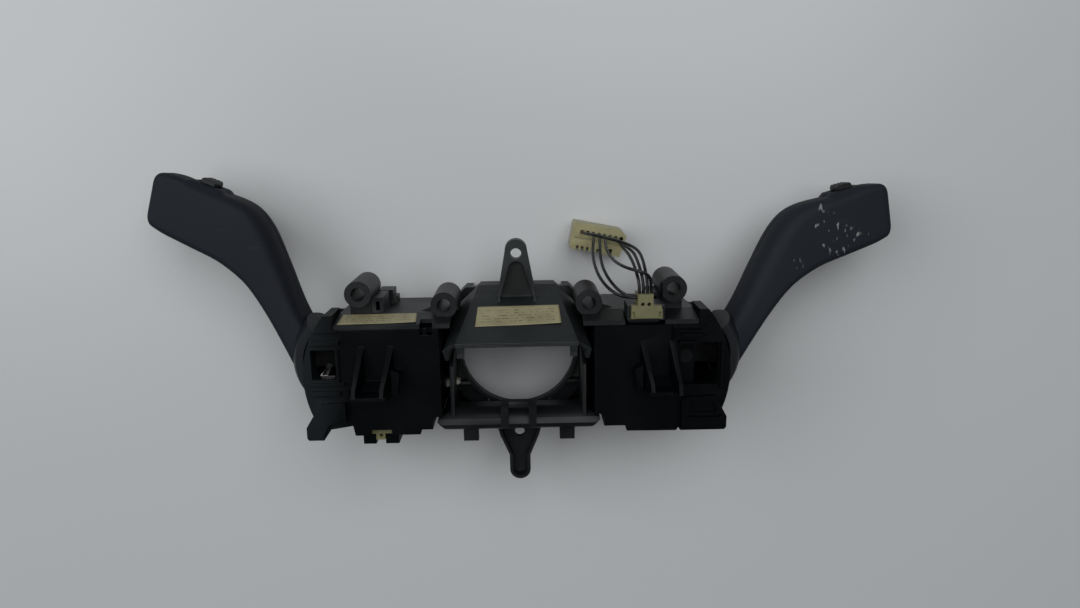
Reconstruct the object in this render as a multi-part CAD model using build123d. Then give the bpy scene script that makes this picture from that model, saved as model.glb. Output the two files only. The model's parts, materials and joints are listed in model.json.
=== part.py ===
from build123d import *
import os
from math import atan2, cos, degrees, radians, sin, tan

# Combination stalk switch for a steering column: a carrier round the column bore, a
# lighting module on the left, a wiper module on the right and a cranked stalk on each.
#
# Millimetres. +Z points to the dash side, +Y up in the car, +X to the right. The column
# axis is Z and the driver-side rim of the column collar lies at Z = 0. Each module is drawn
# on the right (x outwards) and mirrored for the left.

# ---- driving dimensions: column collar and carrier ----
BORE_R = 25.0            # column bore
COLLAR_WALL = 1.5
COLLAR_TOP = 24.0
SEAT_R = 34.8            # drum that a slip ring seats in
SEAT_TOP_Y = 25.8        # the drum is cut flat above
SEAT_WALL = 2.0
DRUM_R = 31.0            # the drum above the floor is a step narrower
DRUM_ROOF_Z = 19.6       # the roof carries the collar
DRUM_ROOF_T = 1.8
RIB_Y = (-20.0, -6.0, 6.4)
FLOOR_Z = 8.0            # underside of the carrier floor
FLOOR_T = 3.0
WING_X = 78.0            # half width of the carrier floor
FLOOR_TOP_Y = 17.0
FLOOR_LOW_Y = 27.0
BAY_X = 27.0             # inner face of the bay's side walls
BAY_WALL = 1.5
BAY_TOP_Z = 46.0
RIB_T = 1.2
FIT = 0.1                # gap between moulded parts of one body
RUN = 0.05               # radial running clearance

# ---- four screw bosses ----
BOSS_R = 5.5
BOSS_BORE_R = 2.8
BOSS_Z0 = 23.0
BOSS_Z1 = 46.0
OUTER_BOSS = (64.7, 30.3)
INNER_BOSS = (29.8, 25.1)

# ---- lower beam and strut ----
BEAM_HALF = 34.5
BEAM_FOOT_HALF = 29.5
BEAM_LOW_Y = 29.6
BEAM_TOP_Y = 20.6
BEAM_Z0 = 34.0
BEAM_Z1 = 47.0
TAB_X = 20.6
TAB_W = 6.4
TAB_LOW_Y = 35.1
TAB_T = 3.0
STRUT_Z = 26.0
STRUT_T = 7.0
STRUT_WEB = 2.2
STRUT_HOLE_Y = -37.0
STRUT_HOLE_R = 2.2
STRUT_LOW_Y = 57.5
STRUT_LEG_R = 4.6

# ---- hood over the upper half of the bore ----
HOOD_NEAR_Z = 56.0
HOOD_FAR_Z = 22.0
HOOD_NEAR_HALF = 24.9
HOOD_NEAR_Y = 11.2
HOOD_FAR_HALF = 16.8
HOOD_FAR_Y = 28.9
HOOD_WALL = 1.6
HOOD_CHEEK_NEAR = (30.8, 6.6)
HOOD_FOOT_NEAR = (30.2, 1.2)
HOOD_CHEEK_FAR = (24.6, 21.6)
HOOD_FOOT_FAR = (24.8, 17.0)
TONGUE_Z = 27.0
TONGUE_T = 2.4
TONGUE_RIM = 5.5
TONGUE_BASE_HALF = 8.3
TONGUE_TIP_R = 4.7
TONGUE_HOLE_Y = 43.9
TONGUE_HOLE_R = 2.35
TONGUE_HEAD_Y = 45.3

# ---- switch modules ----
MODULE_IN_X = 31.6
MODULE_TOP_Y = 17.2
MODULE_LOW_Y = -27.5
MODULE_FACE_Z = 54.0
WALL_CREST = (19.2, 53.4)   # y, z of the wall over a module: crest and knee of its slope
WALL_KNEE = (21.3, 41.0)
MODULE_WALL = 1.6
COVER_T = 2.0
MODULE_END_R = 16.8      # round end wall about the pivot
CORNER_TOP = (77.6, 23.4)
CORNER_W = 3.6
CORNER_Z = 38.0          # the corner stands only near the dash face
CORNER_LOW = (84.2, -18.6)
END_BULGE = (86.8, 2.0)
BOARD_T = 1.6
BOARD_LIFT = 3.2
U_IN_X = (49.9, 53.0)    # chute on the dash face: foot and crest of its leaning fins
U_OUT_X = (61.8, 64.0)
U_TOP_Y = 10.4
U_LOW_Y = -8.6
U_WALL = 1.4
U_HEIGHT = 13.0

SCREW_AT = ((50.0, -14.0), (60.0, 12.0))
SCREW_R = 1.4
SCREW_HEAD_R = 2.7
SOCKET_Z0 = 44.0
PAWL_AT = (37.2, -14.0)
PAWL_Z = 29.0
PAWL_SLOT = (24.0, 35.0)

# ---- gimbal and detent ----
PIVOT = (70.0, 2.0, 34.0)
REST_TILT = {"left": 3.4, "right": -3.4}
JOURNAL_R = 3.0
YOKE_HALF_X = 4.6
YOKE_HALF_Y = 10.4
YOKE_HALF_Z = 9.5
YOKE_WALL_Y = 3.0
YOKE_WALL_Z = 2.4
HUB_R = 5.2
PIN_R = 1.5
NECK_HALF = 4.5
SHROUD_IN_R = 18.6
SHROUD_OUT_R = 25.4      # ball face about the pivot
SHROUD_HALF_Z = 13.0
SHROUD_LOW_DEG = -35.0
SHROUD_HIGH_DEG = 41.0
TAIL_END = 25.0
TAIL_R = 3.6
PLUNGER_R = 2.3
PLUNGER_BACK = 17.0
PLUNGER_TIP = 29.7
CAM_GAP = 0.3
CAM_BACK = 36.3
SPRING_WIRE = 0.5
SPRING_TURNS = 4

CAM_HALF_Z = 7.0
GROOVE_R = 1.2
TILT_STOPS = {"left": (-9.0, 0.0, 9.0), "right": (-5.0, 0.0, 7.0, 14.0)}
BOARD_PILLARS = ((44.0, -19.0), (44.0, 11.6), (66.0, -19.0), (70.0, 12.0))
LEFT_PLUG_X = (52.4, 61.5)
LEFT_PLUG_Z = (40.0, 50.0)
LEFT_PLUG_LOW_Y = -28.3
JAWS = ((50.4, 56.0), (60.0, 65.3))
CLIP_X = (34.0, 39.2)
LABEL_T = 0.25

# ---- stalks ----
STALK_LEAN = 5.4         # the tip leans towards the driver
STALK_WALL = 1.8
# centre x, centre y, heading, width, thickness, corner radius, from the pivot
STALK_SECTIONS = [
    (15.1, -8.65, 62.0, 17.7, 25.0, 7.5),
    (25.0, 9.95, 62.0, 17.7, 24.5, 7.5),
    (29.7, 18.4, 60.0, 18.6, 24.0, 7.5),
    (34.1, 27.1, 56.0, 20.4, 23.5, 7.5),
    (38.8, 35.3, 47.0, 23.2, 23.0, 7.5),
    (43.3, 42.2, 38.5, 27.0, 22.5, 7.0),
    (49.9, 48.3, 31.0, 29.6, 22.0, 6.5),
    (59.7, 53.0, 25.0, 28.5, 20.5, 6.0),
    (69.8, 56.9, 23.0, 26.9, 19.0, 5.5),
    (78.2, 60.2, 19.0, 25.4, 17.0, 5.0),
    (85.0, 61.1, 8.0, 18.2, 13.0, 4.0),
]
KNOB_AT = (63.4, 69.0)   # middle of the slider, from the pivot
KNOB_SHIFT = {"left": -1.6, "right": 2.6}    # along the stalk
KNOB_HEADING = 18.0
KNOB_L = 6.0
KNOB_W = 8.0
KNOB_H = 2.2
KNOB_TRAVEL = 3.0
PAD_T = 0.9
STEM_L = 3.4
STEM_W = 4.0

# ---- plug, connectors and wires ----
PLUG_X = (48.1, 54.2)
PLUG_Y = 31.0
PLUG_Z = (51.0, 60.0)
WIRE_R = 0.65
CONNECTOR_AT = (38.25, 48.45)
CONNECTOR_TURN = -11.3
CONNECTOR_H = 12.0
HOLE_PITCH = 2.54
HOLE_COUNT = 8

SIDES = ("left", "right")
FLOOR_TOP = FLOOR_Z + FLOOR_T
HOUSING_Z = FLOOR_TOP + FIT
COVER_Z = MODULE_FACE_Z - COVER_T
PX, PY, PZ = PIVOT


# ---- helpers ----
def block(x0, x1, y0, y1, z0, z1):
    """A box given by its limits."""
    centre = ((x0 + x1) / 2, (y0 + y1) / 2, (z0 + z1) / 2)
    return Pos(*centre) * Box(abs(x1 - x0), abs(y1 - y0), abs(z1 - z0))


def rod(x, y, radius, z0, z1):
    """An upright cylinder."""
    return Pos(x, y, (z0 + z1) / 2) * Cylinder(radius, z1 - z0)


def prism(points, z0, z1):
    """A polygon in XY raised from z0 to z1."""
    return extrude(Pos(0, 0, z0) * Polygon(*points, align=None), z1 - z0, dir=(0, 0, 1))


def slab_yz(points, x0, x1):
    """A polygon in YZ carried from x0 to x1."""
    return extrude(Plane.YZ.offset(x0) * Polygon(*points, align=None), x1 - x0, dir=(1, 0, 0))


def slab_xz(points, y0, y1):
    """Outline in x and z, extruded along y."""
    plane = Plane(origin=(0, y0, 0), x_dir=(1, 0, 0), z_dir=(0, -1, 0))
    return extrude(plane * Polygon(*points, align=None), y1 - y0, dir=(0, 1, 0))


def polar(radius, angle):
    """Point at a radius and an angle in degrees."""
    return (radius * cos(radians(angle)), radius * sin(radians(angle)))


def sector(r_in, r_out, low, high, half_z):
    """A ring sector about Z between two angles."""
    reach = 2.5 * r_out
    middle = (low + high) / 2
    wedge = [(0, 0), polar(reach, low), polar(reach, middle), polar(reach, high)]
    ring = Cylinder(r_out, 2 * half_z) - Cylinder(r_in, 2 * half_z + 2)
    return ring & prism(wedge, -half_z, half_z)


def both(shape):
    """A shape and its mirror image on the other side of the column."""
    return shape + mirror(shape, about=Plane.YZ)


def on_side(shape, side):
    """Leave a right-hand shape where it is or mirror it to the left."""
    return shape if side == "right" else mirror(shape, about=Plane.YZ)


def at_pivot(shape, side):
    """Bring a shape drawn about the pivot to its rest place on its side."""
    turned = Pos(*PIVOT) * Rot(0, 0, REST_TILT[side]) * shape
    return on_side(turned, side)


def leaned(shape):
    """Lean the flat-drawn stalk towards the driver about its own width."""
    return Rot(Z=36.0) * Rot(Y=STALK_LEAN) * Rot(Z=-36.0) * shape


# ---- carrier ----
def seat_outline():
    """Round outline of the drum with its flat top."""
    height = SEAT_TOP_Y + SEAT_R
    return Circle(SEAT_R) & (Pos(0, SEAT_TOP_Y - height / 2) * Rectangle(2 * SEAT_R, height))


def top_wall():
    """Sloping wall over a module, with the label slope near the dash face."""
    outer = [WALL_CREST, WALL_KNEE, (20.9, FLOOR_Z)]
    t = MODULE_WALL
    inner = [(outer[2][0] - t, FLOOR_Z), (WALL_KNEE[0] - t, WALL_KNEE[1]),
             (MODULE_TOP_Y + FIT, WALL_CREST[1])]
    return slab_yz(outer + inner, BAY_X, CORNER_TOP[0] - CORNER_W - 2 * FIT)


def outer_boss():
    """Round boss on a wide web with a lightening slot beside the boss."""
    x, y = OUTER_BOSS
    web = block(x - 9.2, x + 4.3, 20.0, y - 2.6, BOSS_Z0 + 2, BOSS_Z1 - 6.0)
    web += block(x - 4.3, x + 4.3, 20.0, y, BOSS_Z0 + 2, BOSS_Z1 - 4.6)
    web -= block(x - 7.7, x - 6.1, 22.4, y - 4.2, BOSS_Z1 - 16, BOSS_Z1)
    return rod(x, y, BOSS_R, BOSS_Z0, BOSS_Z1) + web


def inner_boss():
    """Round boss on a foot, with a swept gusset down to the deck."""
    x, y = INNER_BOSS
    foot = block(x - 3.4, x + BOSS_R, 19.6, y, BOSS_Z0, BOSS_Z1 - 6)
    sweep_line = [(x + 3.0, y), (x + BOSS_R + 1.4, y - 2.6), (x + BOSS_R + 7.0, 20.6), (x + 3.0, 20.0)]
    return rod(x, y, BOSS_R, BOSS_Z0, BOSS_Z1) + foot + prism(sweep_line, BOSS_Z0, BOSS_Z1 - 9)


def lower_beam():
    section = [
        (-BEAM_LOW_Y + 1.4, BEAM_Z0), (-BEAM_LOW_Y, BEAM_Z0 + 2), (-BEAM_LOW_Y, BEAM_Z1 - 3.4),
        (-BEAM_LOW_Y + 1.2, BEAM_Z1 - 1.0), (-26.4, BEAM_Z1), (-24.0, BEAM_Z1 - 0.8),
        (-22.0, BEAM_Z1 - 2.8), (-BEAM_TOP_Y, BEAM_Z1 - 6.0), (-BEAM_TOP_Y, BEAM_Z0),
    ]
    bar = slab_yz(section, -BEAM_HALF, BEAM_HALF)
    plan = [
        (-BEAM_HALF, -25.2), (-BEAM_HALF + 1.2, -23.6), (-BEAM_FOOT_HALF, -21.6),
        (-BEAM_FOOT_HALF, -19.0), (BEAM_FOOT_HALF, -19.0), (BEAM_FOOT_HALF, -21.6),
        (BEAM_HALF - 1.2, -23.6), (BEAM_HALF, -25.2), (BEAM_FOOT_HALF, -BEAM_LOW_Y - 1),
        (-BEAM_FOOT_HALF, -BEAM_LOW_Y - 1),
    ]
    bar &= prism(plan, 0, BEAM_Z1 + 9)
    wall = block(-BEAM_HALF + 1, BEAM_HALF - 1, -28.6, -26.4, FLOOR_Z, BEAM_Z0 + 2)
    saddle = block(-7.6, 7.6, -26.8, -18.4, BEAM_Z0 + 4, BEAM_Z1 - 1.5)
    saddle -= block(-4.3, 4.3, -24.8, -17.0, BEAM_Z0 + 8, BEAM_Z1)
    ridge = block(4.3, 7.4, -26.8, -18.4, BEAM_Z1 - 3, BEAM_Z1 + 2.5)
    tab_z = BEAM_Z1 - 7.0
    tab = block(TAB_X - TAB_W / 2, TAB_X + TAB_W / 2, -TAB_LOW_Y, -28.6, tab_z, tab_z + TAB_T)
    return bar + wall + saddle + both(ridge) + both(tab)


def strut():
    r = STRUT_LEG_R
    leg_y = -STRUT_LOW_Y + r
    plan = [(-11.5, -26.0), (-8.6, -36.7), (-r, -46.2), (-r, leg_y), (r, leg_y),
            (r, -46.2), (8.6, -36.7), (11.5, -26.0)]
    solid = prism(plan, STRUT_Z, STRUT_Z + STRUT_T) + rod(0, leg_y, r, STRUT_Z, STRUT_Z + STRUT_T)
    rim = 1.4
    scoop = [(-9.9, -27.0), (-7.2, -36.9), (-r + rim, -46.4), (-r + rim, leg_y),
             (r - rim, leg_y), (r - rim, -46.4), (7.2, -36.9), (9.9, -27.0)]
    floor = STRUT_Z + STRUT_WEB
    solid -= prism(scoop, floor, STRUT_Z + STRUT_T + 1)
    solid -= rod(0, leg_y, r - rim, floor, STRUT_Z + STRUT_T + 1)
    return solid - rod(0, STRUT_HOLE_Y, STRUT_HOLE_R, STRUT_Z - 1, STRUT_Z + STRUT_T)


def drum():
    """Seat for the slip ring: a round wall with a roof that carries the collar."""
    bay = block(-BAY_X - BAY_WALL, BAY_X + BAY_WALL, -SEAT_R, 18.0, 0, COLLAR_TOP)
    back = [(-24.0, 18.0), (-24.0, 20.9), (-16.4, 27.9), (16.4, 27.9), (24.0, 20.9), (24.0, 18.0)]
    roof_z = DRUM_ROOF_Z + DRUM_ROOF_T
    body = (rod(0, 0, DRUM_R + SEAT_WALL, 0, roof_z) & bay) + prism(back, FLOOR_Z, roof_z)
    return body + extrude(seat_outline(), FLOOR_Z + FLOOR_T, dir=(0, 0, 1))


def drum_pocket():
    """Round seat below the floor, open at its flat; above it the bay's walls close in."""
    seat = rod(0, 0, SEAT_R - SEAT_WALL, -1, FLOOR_Z)
    room = rod(0, 0, DRUM_R, FLOOR_Z - 1, DRUM_ROOF_Z)
    room &= block(-BAY_X, BAY_X, -SEAT_R, 17.0, 0, 60)
    back = [(-22.0, 10.0), (-22.0, 19.7), (-15.4, 25.9), (15.4, 25.9), (22.0, 19.7), (22.0, 10.0)]
    return seat + room + prism(back, FLOOR_Z - 1, DRUM_ROOF_Z)


def floor_ribs():
    """Stiffening ribs under the floor, from the drum to the ends."""
    ribs = [block(SEAT_R - 1.0, WING_X - 2, y, y + RIB_T, FLOOR_Z - 4.0, FLOOR_Z) for y in RIB_Y]
    cross = block(WING_X - 20, WING_X - 20 + RIB_T, RIB_Y[0], RIB_Y[-1] + RIB_T, FLOOR_Z - 4.0, FLOOR_Z)
    return ribs[0] + ribs[1] + ribs[2] + cross


def carrier_frame():
    wing = block(-WING_X, WING_X, -FLOOR_LOW_Y, FLOOR_TOP_Y, FLOOR_Z, FLOOR_TOP)
    step_x = CORNER_TOP[0] - CORNER_W - 2 * FIT
    wing += block(-step_x, step_x, 0, 20.7, FLOOR_Z, FLOOR_TOP)
    collar = rod(0, 0, BORE_R + COLLAR_WALL, DRUM_ROOF_Z, COLLAR_TOP)
    side = [(-27.0, FLOOR_Z), (-27.0, BAY_TOP_Z), (-1.0, BAY_TOP_Z), (15.5, FLOOR_TOP + 8),
            (21.0, FLOOR_TOP + 6), (21.0, FLOOR_Z)]
    bay = slab_yz(side, BAY_X, BAY_X + BAY_WALL)
    near_rib = block(18.0, BAY_X + 0.5, -15.2, -15.2 + RIB_T, DRUM_ROOF_Z + 1, COLLAR_TOP + 2)
    foot_rib = block(13.0, 13.0 + RIB_T, -27.0, -21.0, DRUM_ROOF_Z + 1, COLLAR_TOP + 2)
    bosses = outer_boss() + inner_boss() + top_wall()
    solid = wing + drum() + both(bay + near_rib + foot_rib + bosses + floor_ribs())
    solid += lower_beam() + strut()
    solid -= drum_pocket()
    solid += collar
    solid -= rod(0, 0, BORE_R, DRUM_ROOF_Z - 1, COLLAR_TOP + 1)
    solid -= rod(0, 0, BORE_R + 1, COLLAR_TOP, COLLAR_TOP + 3)
    stop_block = block(54.2, 60.6, 19.6, 27.4, 13.0, 22.0) + block(52.8, 54.4, 19.6, 24.2, 13.0, 20.0)
    solid += on_side(stop_block, "left")
    slope = [(HOOD_NEAR_Y - 2.2, HOOD_NEAR_Z), (HOOD_FAR_Y - 2.2, HOOD_FAR_Z), (60.0, HOOD_FAR_Z),
             (60.0, HOOD_NEAR_Z)]
    solid -= slab_yz(slope, -HOOD_FAR_HALF, HOOD_FAR_HALF)
    for x, y in (OUTER_BOSS, INNER_BOSS):
        solid -= both(rod(x, y, BOSS_BORE_R, BOSS_Z0 - 9, BOSS_Z1 + 1))
    for x, y in SCREW_AT:
        solid -= both(rod(x, y, SCREW_R + FIT, FLOOR_Z - 1, FLOOR_TOP + 1))
    notch_x = (PLUG_X[0] - 4.2, PLUG_X[1] + 6.0)
    solid -= block(*notch_x, 17.0, 40.0, SOCKET_Z0 - FIT, MODULE_FACE_Z + 1)
    solid -= on_side(block(*CLIP_X, MODULE_TOP_Y, 24.0, COVER_Z - 4, MODULE_FACE_Z + 1), "left")
    solid -= on_side(block(*PAWL_SLOT, -17.5, -8.5, PAWL_Z - 2.5, PAWL_Z + 2.5), "left")
    return solid


# ---- hood ----
def hood_profile(half, top_y, cheek, foot, inset):
    """Half an arch and its mirror image: crown, cheek and foot, set in by a wall."""
    crown = (half - 0.45 * inset, top_y - inset)
    side = (cheek[0] - inset, cheek[1] - 0.5 * inset)
    drop = (foot[0] - inset, foot[1] - (3.0 if inset else 0.0))
    right = [crown, side, drop]
    return right + [(-x, y) for x, y in reversed(right)]


def hood_loft(inset):
    margin = 0.5 if inset else 0.0
    near = hood_profile(HOOD_NEAR_HALF, HOOD_NEAR_Y, HOOD_CHEEK_NEAR, HOOD_FOOT_NEAR, inset)
    far = hood_profile(HOOD_FAR_HALF, HOOD_FAR_Y, HOOD_CHEEK_FAR, HOOD_FOOT_FAR, inset)
    faces = [Pos(0, 0, HOOD_FAR_Z - margin) * Polygon(*far, align=None),
             Pos(0, 0, HOOD_NEAR_Z + margin) * Polygon(*near, align=None)]
    return loft(faces, ruled=True)


def tongue():
    """Upright mounting tongue with turned-up edges and a scooped foot."""
    base_y = 22.0
    tip = TONGUE_TIP_R
    plan = [(-TONGUE_BASE_HALF, base_y), (-TONGUE_BASE_HALF, 25.5), (-tip, TONGUE_HEAD_Y),
            (tip, TONGUE_HEAD_Y), (TONGUE_BASE_HALF, 25.5), (TONGUE_BASE_HALF, base_y)]
    top = TONGUE_Z + TONGUE_RIM
    solid = prism(plan, TONGUE_Z, top) + rod(0, TONGUE_HEAD_Y, tip, TONGUE_Z, top)
    rim = 1.3
    scoop_y = TONGUE_HOLE_Y - 6.6
    scoop = [(-TONGUE_BASE_HALF + rim, 10.0), (-TONGUE_BASE_HALF + rim, 25.8),
             (-tip + rim, scoop_y), (tip - rim, scoop_y),
             (TONGUE_BASE_HALF - rim, 25.8), (TONGUE_BASE_HALF - rim, 10.0)]
    solid -= prism(scoop, TONGUE_Z + TONGUE_T, top + 20)
    solid -= rod(0, scoop_y, tip - rim, TONGUE_Z + TONGUE_T, top + 1)
    return solid - rod(0, TONGUE_HOLE_Y, TONGUE_HOLE_R, TONGUE_Z - 1, top + 1)


def hood_cover():
    shell = hood_loft(0)
    front = [(HOOD_NEAR_Y - 0.2, HOOD_NEAR_Z + 9), (HOOD_NEAR_Y - 0.2, HOOD_NEAR_Z - 1.0),
             (-8.0, HOOD_NEAR_Z - 9.0), (-8.0, HOOD_NEAR_Z + 9)]
    solid = shell + tongue() - hood_loft(HOOD_WALL)
    solid -= slab_yz(front, -40, 40)
    lip = block(-HOOD_NEAR_HALF, HOOD_NEAR_HALF, HOOD_NEAR_Y - 1.6, HOOD_NEAR_Y - 0.4,
                HOOD_NEAR_Z - 2.2, HOOD_NEAR_Z)
    hook = block(21.5, 24.5, 4.6, 9.4, HOOD_NEAR_Z - 4.0, HOOD_NEAR_Z - 2.0)
    hook += block(21.5, 24.5, 7.6, 9.8, HOOD_NEAR_Z - 4.0, HOOD_NEAR_Z - 0.6)
    return solid + lip + both(hook)


# ---- switch module: housing, cover, board, detent cam ----
def module_low_edge(side):
    """Lower edge of a module, from the outer corner to the inner one."""
    inner = [(40.6, MODULE_LOW_Y), (40.0, -25.4), (35.4, -25.4), (35.4, -20.2),
             (MODULE_IN_X, -20.2)]
    if side == "right":
        foot = [(86.2, -22.4), (86.2, -27.0), (85.2, -28.0), (67.0, -28.0), (66.1, -26.6),
                (65.2, -28.0), (44.8, -27.8), (44.0, -25.4)]
        return foot + inner[2:]
    foot = [(87.4, -23.8), (87.4, -28.4), (86.6, -29.3), (80.4, -29.3), (77.3, -24.6),
            (68.2, -23.2), (67.4, MODULE_LOW_Y)]
    return foot + inner


def module_plate(side, z0, z1):
    """Flat outline of a module with its bulged outer end."""
    step_x = CORNER_TOP[0] - CORNER_W
    start = Polyline((MODULE_IN_X, MODULE_TOP_Y), (step_x, MODULE_TOP_Y),
                     (step_x, CORNER_TOP[1]), CORNER_TOP)
    arc = ThreePointArc(CORNER_TOP, END_BULGE, CORNER_LOW)
    tail = Polyline(CORNER_LOW, *module_low_edge(side), (MODULE_IN_X, MODULE_TOP_Y))
    outline = make_face([*start.edges(), arc, *tail.edges()])
    return extrude(Pos(0, 0, z0) * outline, z1 - z0, dir=(0, 0, 1))


def module_core(side, inset):
    """Walled part of a module: the end is a round nose about the pivot."""
    ends = [(PX + MODULE_END_R * cos(radians(a)), PY + MODULE_END_R * sin(radians(a)))
            for a in (60.0, 0.0, -58.0)]
    step_x = CORNER_TOP[0] - CORNER_W
    low = module_low_edge(side)
    start = Polyline((MODULE_IN_X, MODULE_TOP_Y), (step_x, MODULE_TOP_Y),
                     (step_x, CORNER_TOP[1]), CORNER_TOP, ends[0])
    arc = ThreePointArc(*ends)
    tail = Polyline(ends[2], (CORNER_LOW[0] - 1, CORNER_LOW[1]), *low,
                    (MODULE_IN_X, MODULE_TOP_Y))
    face = make_face([*start.edges(), arc, *tail.edges()])
    return offset(face, -inset) if inset else face


def lever_mouth(height, width):
    """Opening that the lever's neck swings in."""
    return block(PX + 8, PX + 22, PY - width, PY + width, PZ - height, PZ + height)


def housing(side):
    outer = Pos(0, 0, HOUSING_Z) * module_core(side, 0)
    inner = Pos(0, 0, HOUSING_Z + MODULE_WALL) * module_core(side, MODULE_WALL)
    depth = COVER_Z - HOUSING_Z
    solid = extrude(outer, depth, dir=(0, 0, 1)) - extrude(inner, depth, dir=(0, 0, 1))
    solid += module_plate(side, HOUSING_Z, HOUSING_Z + MODULE_WALL)
    step_x = CORNER_TOP[0] - CORNER_W
    solid -= block(step_x - 0.05, 90.0, MODULE_TOP_Y, 25.0, HOUSING_Z - 1, CORNER_Z)
    wall_y = MODULE_TOP_Y - MODULE_WALL
    solid += block(step_x - MODULE_WALL, 77.4, wall_y, MODULE_TOP_Y, HOUSING_Z, CORNER_Z + 1)
    shelf = [(step_x, wall_y), (step_x, CORNER_TOP[1]), CORNER_TOP, (78.2, MODULE_TOP_Y), (77.2, wall_y)]
    solid += prism(shelf, CORNER_Z, CORNER_Z + MODULE_WALL)
    solid -= lever_mouth(7.0, 9.2)
    inside = HOUSING_Z + MODULE_WALL
    board_z = inside + BOARD_LIFT
    solid += rod(PX, PY, JOURNAL_R + 2.0, HOUSING_Z, board_z)
    for x, y in BOARD_PILLARS:
        solid += rod(x, y, 2.0, HOUSING_Z, board_z - FIT)
    for x, y in SCREW_AT:
        solid += rod(x, y, 2.8, HOUSING_Z, board_z - FIT)
        solid -= rod(x, y, SCREW_R, HOUSING_Z - 1, board_z - 1)
    shelf_top = PZ - CAM_HALF_Z - FIT
    solid += block(MODULE_IN_X + 0.5, 38.6, PY - 9, PY + 9, HOUSING_Z, shelf_top)
    solid -= rod(PX, PY, JOURNAL_R + RUN, HOUSING_Z + 0.6, COVER_Z)
    if side == "left":
        solid -= block(MODULE_IN_X - 1, MODULE_IN_X + 3, -17.5, -8.5, PAWL_Z - 2.5, PAWL_Z + 2.5)
        solid += rod(*PAWL_AT, 1.5, HOUSING_Z, PAWL_Z + 3.0)
        solid += rod(*PAWL_AT, 3.2, HOUSING_Z, PAWL_Z - 2.0 - FIT)
        for x0, x1 in JAWS:
            solid += block(x0, x1, -33.1, MODULE_LOW_Y + 1.2, LEFT_PLUG_Z[0], LEFT_PLUG_Z[1] - 1)
        solid -= block(*LEFT_PLUG_X, LEFT_PLUG_LOW_Y - FIT, -25.2, LEFT_PLUG_Z[0] - FIT, COVER_Z + 1)
    return on_side(solid, side)


def ledge(x0, x1, y, height=1.4, width=1.0):
    """Small moulded rib on the dash face."""
    return block(x0, x1, y - width / 2, y + width / 2, MODULE_FACE_Z - 0.5, MODULE_FACE_Z + height)


def chute_fin(foot_x, crest_x):
    """Fin of the chute: it leans outwards, thins towards its crest and rises downwards."""
    z = MODULE_FACE_Z
    top = z + U_HEIGHT
    lean = [(foot_x, z - 0.5), (foot_x, z), (crest_x, top), (crest_x + U_WALL, top),
            (foot_x + U_WALL + 0.8, z - 0.5)]
    rise = [(U_TOP_Y, z - 0.5), (U_TOP_Y, z), (1.0, z + 7.4), (U_LOW_Y + 4.2, top - 0.8),
            (U_LOW_Y, top), (U_LOW_Y, z - 0.5)]
    return slab_xz(lean, U_LOW_Y, U_TOP_Y) & slab_yz(rise, foot_x - 1, crest_x + 3)


def chute(side):
    """Open chute on the dash face: two fins, a closed lower end and a gusset."""
    z = MODULE_FACE_Z
    fins = chute_fin(*U_IN_X) + chute_fin(*U_OUT_X)
    end_x = 69.4 if side == "left" else 65.4
    end = slab_xz([(U_IN_X[0] - 1.4, z - 0.5), (U_IN_X[1] - 1.0, z + U_HEIGHT),
                   (end_x - 4.0, z + U_HEIGHT), (end_x, z - 0.5)], U_LOW_Y, U_LOW_Y + U_WALL)
    ramp = slab_yz([(-3.6, z - 0.5), (U_LOW_Y + 1.0, z + 5.0), (U_LOW_Y + 1.0, z - 0.5)],
                   U_IN_X[0] + 1, U_OUT_X[0] + 1)
    gusset = [(U_IN_X[0] + 0.6, 1.8), (U_IN_X[0] - 2.8, 0.4), (U_IN_X[0] - 1.4, U_LOW_Y),
              (U_IN_X[0] + 0.6, U_LOW_Y)]
    return fins + end + ramp + prism(gusset, z - 0.5, z + 6.0)


def bearing_bridge(side):
    """Bar under the cover that holds the carriage's upper journal."""
    low = PZ + YOKE_HALF_Z + 0.6
    bar = block(PX - 5.2, PX + 3.4, -14.5, 15.4, low, low + 3.4)
    legs = block(PX - 5.2, PX + 3.4, -14.5, -12.0, low, COVER_Z + 0.5)
    legs += block(PX - 5.2, PX + 3.4, 13.2, 15.4, low, COVER_Z + 0.5)
    ring = rod(PX, PY, JOURNAL_R + 1.6, low, low + 3.4)
    return bar + legs + ring - rod(PX, PY, JOURNAL_R + RUN, low - 1, low + 5)


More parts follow.
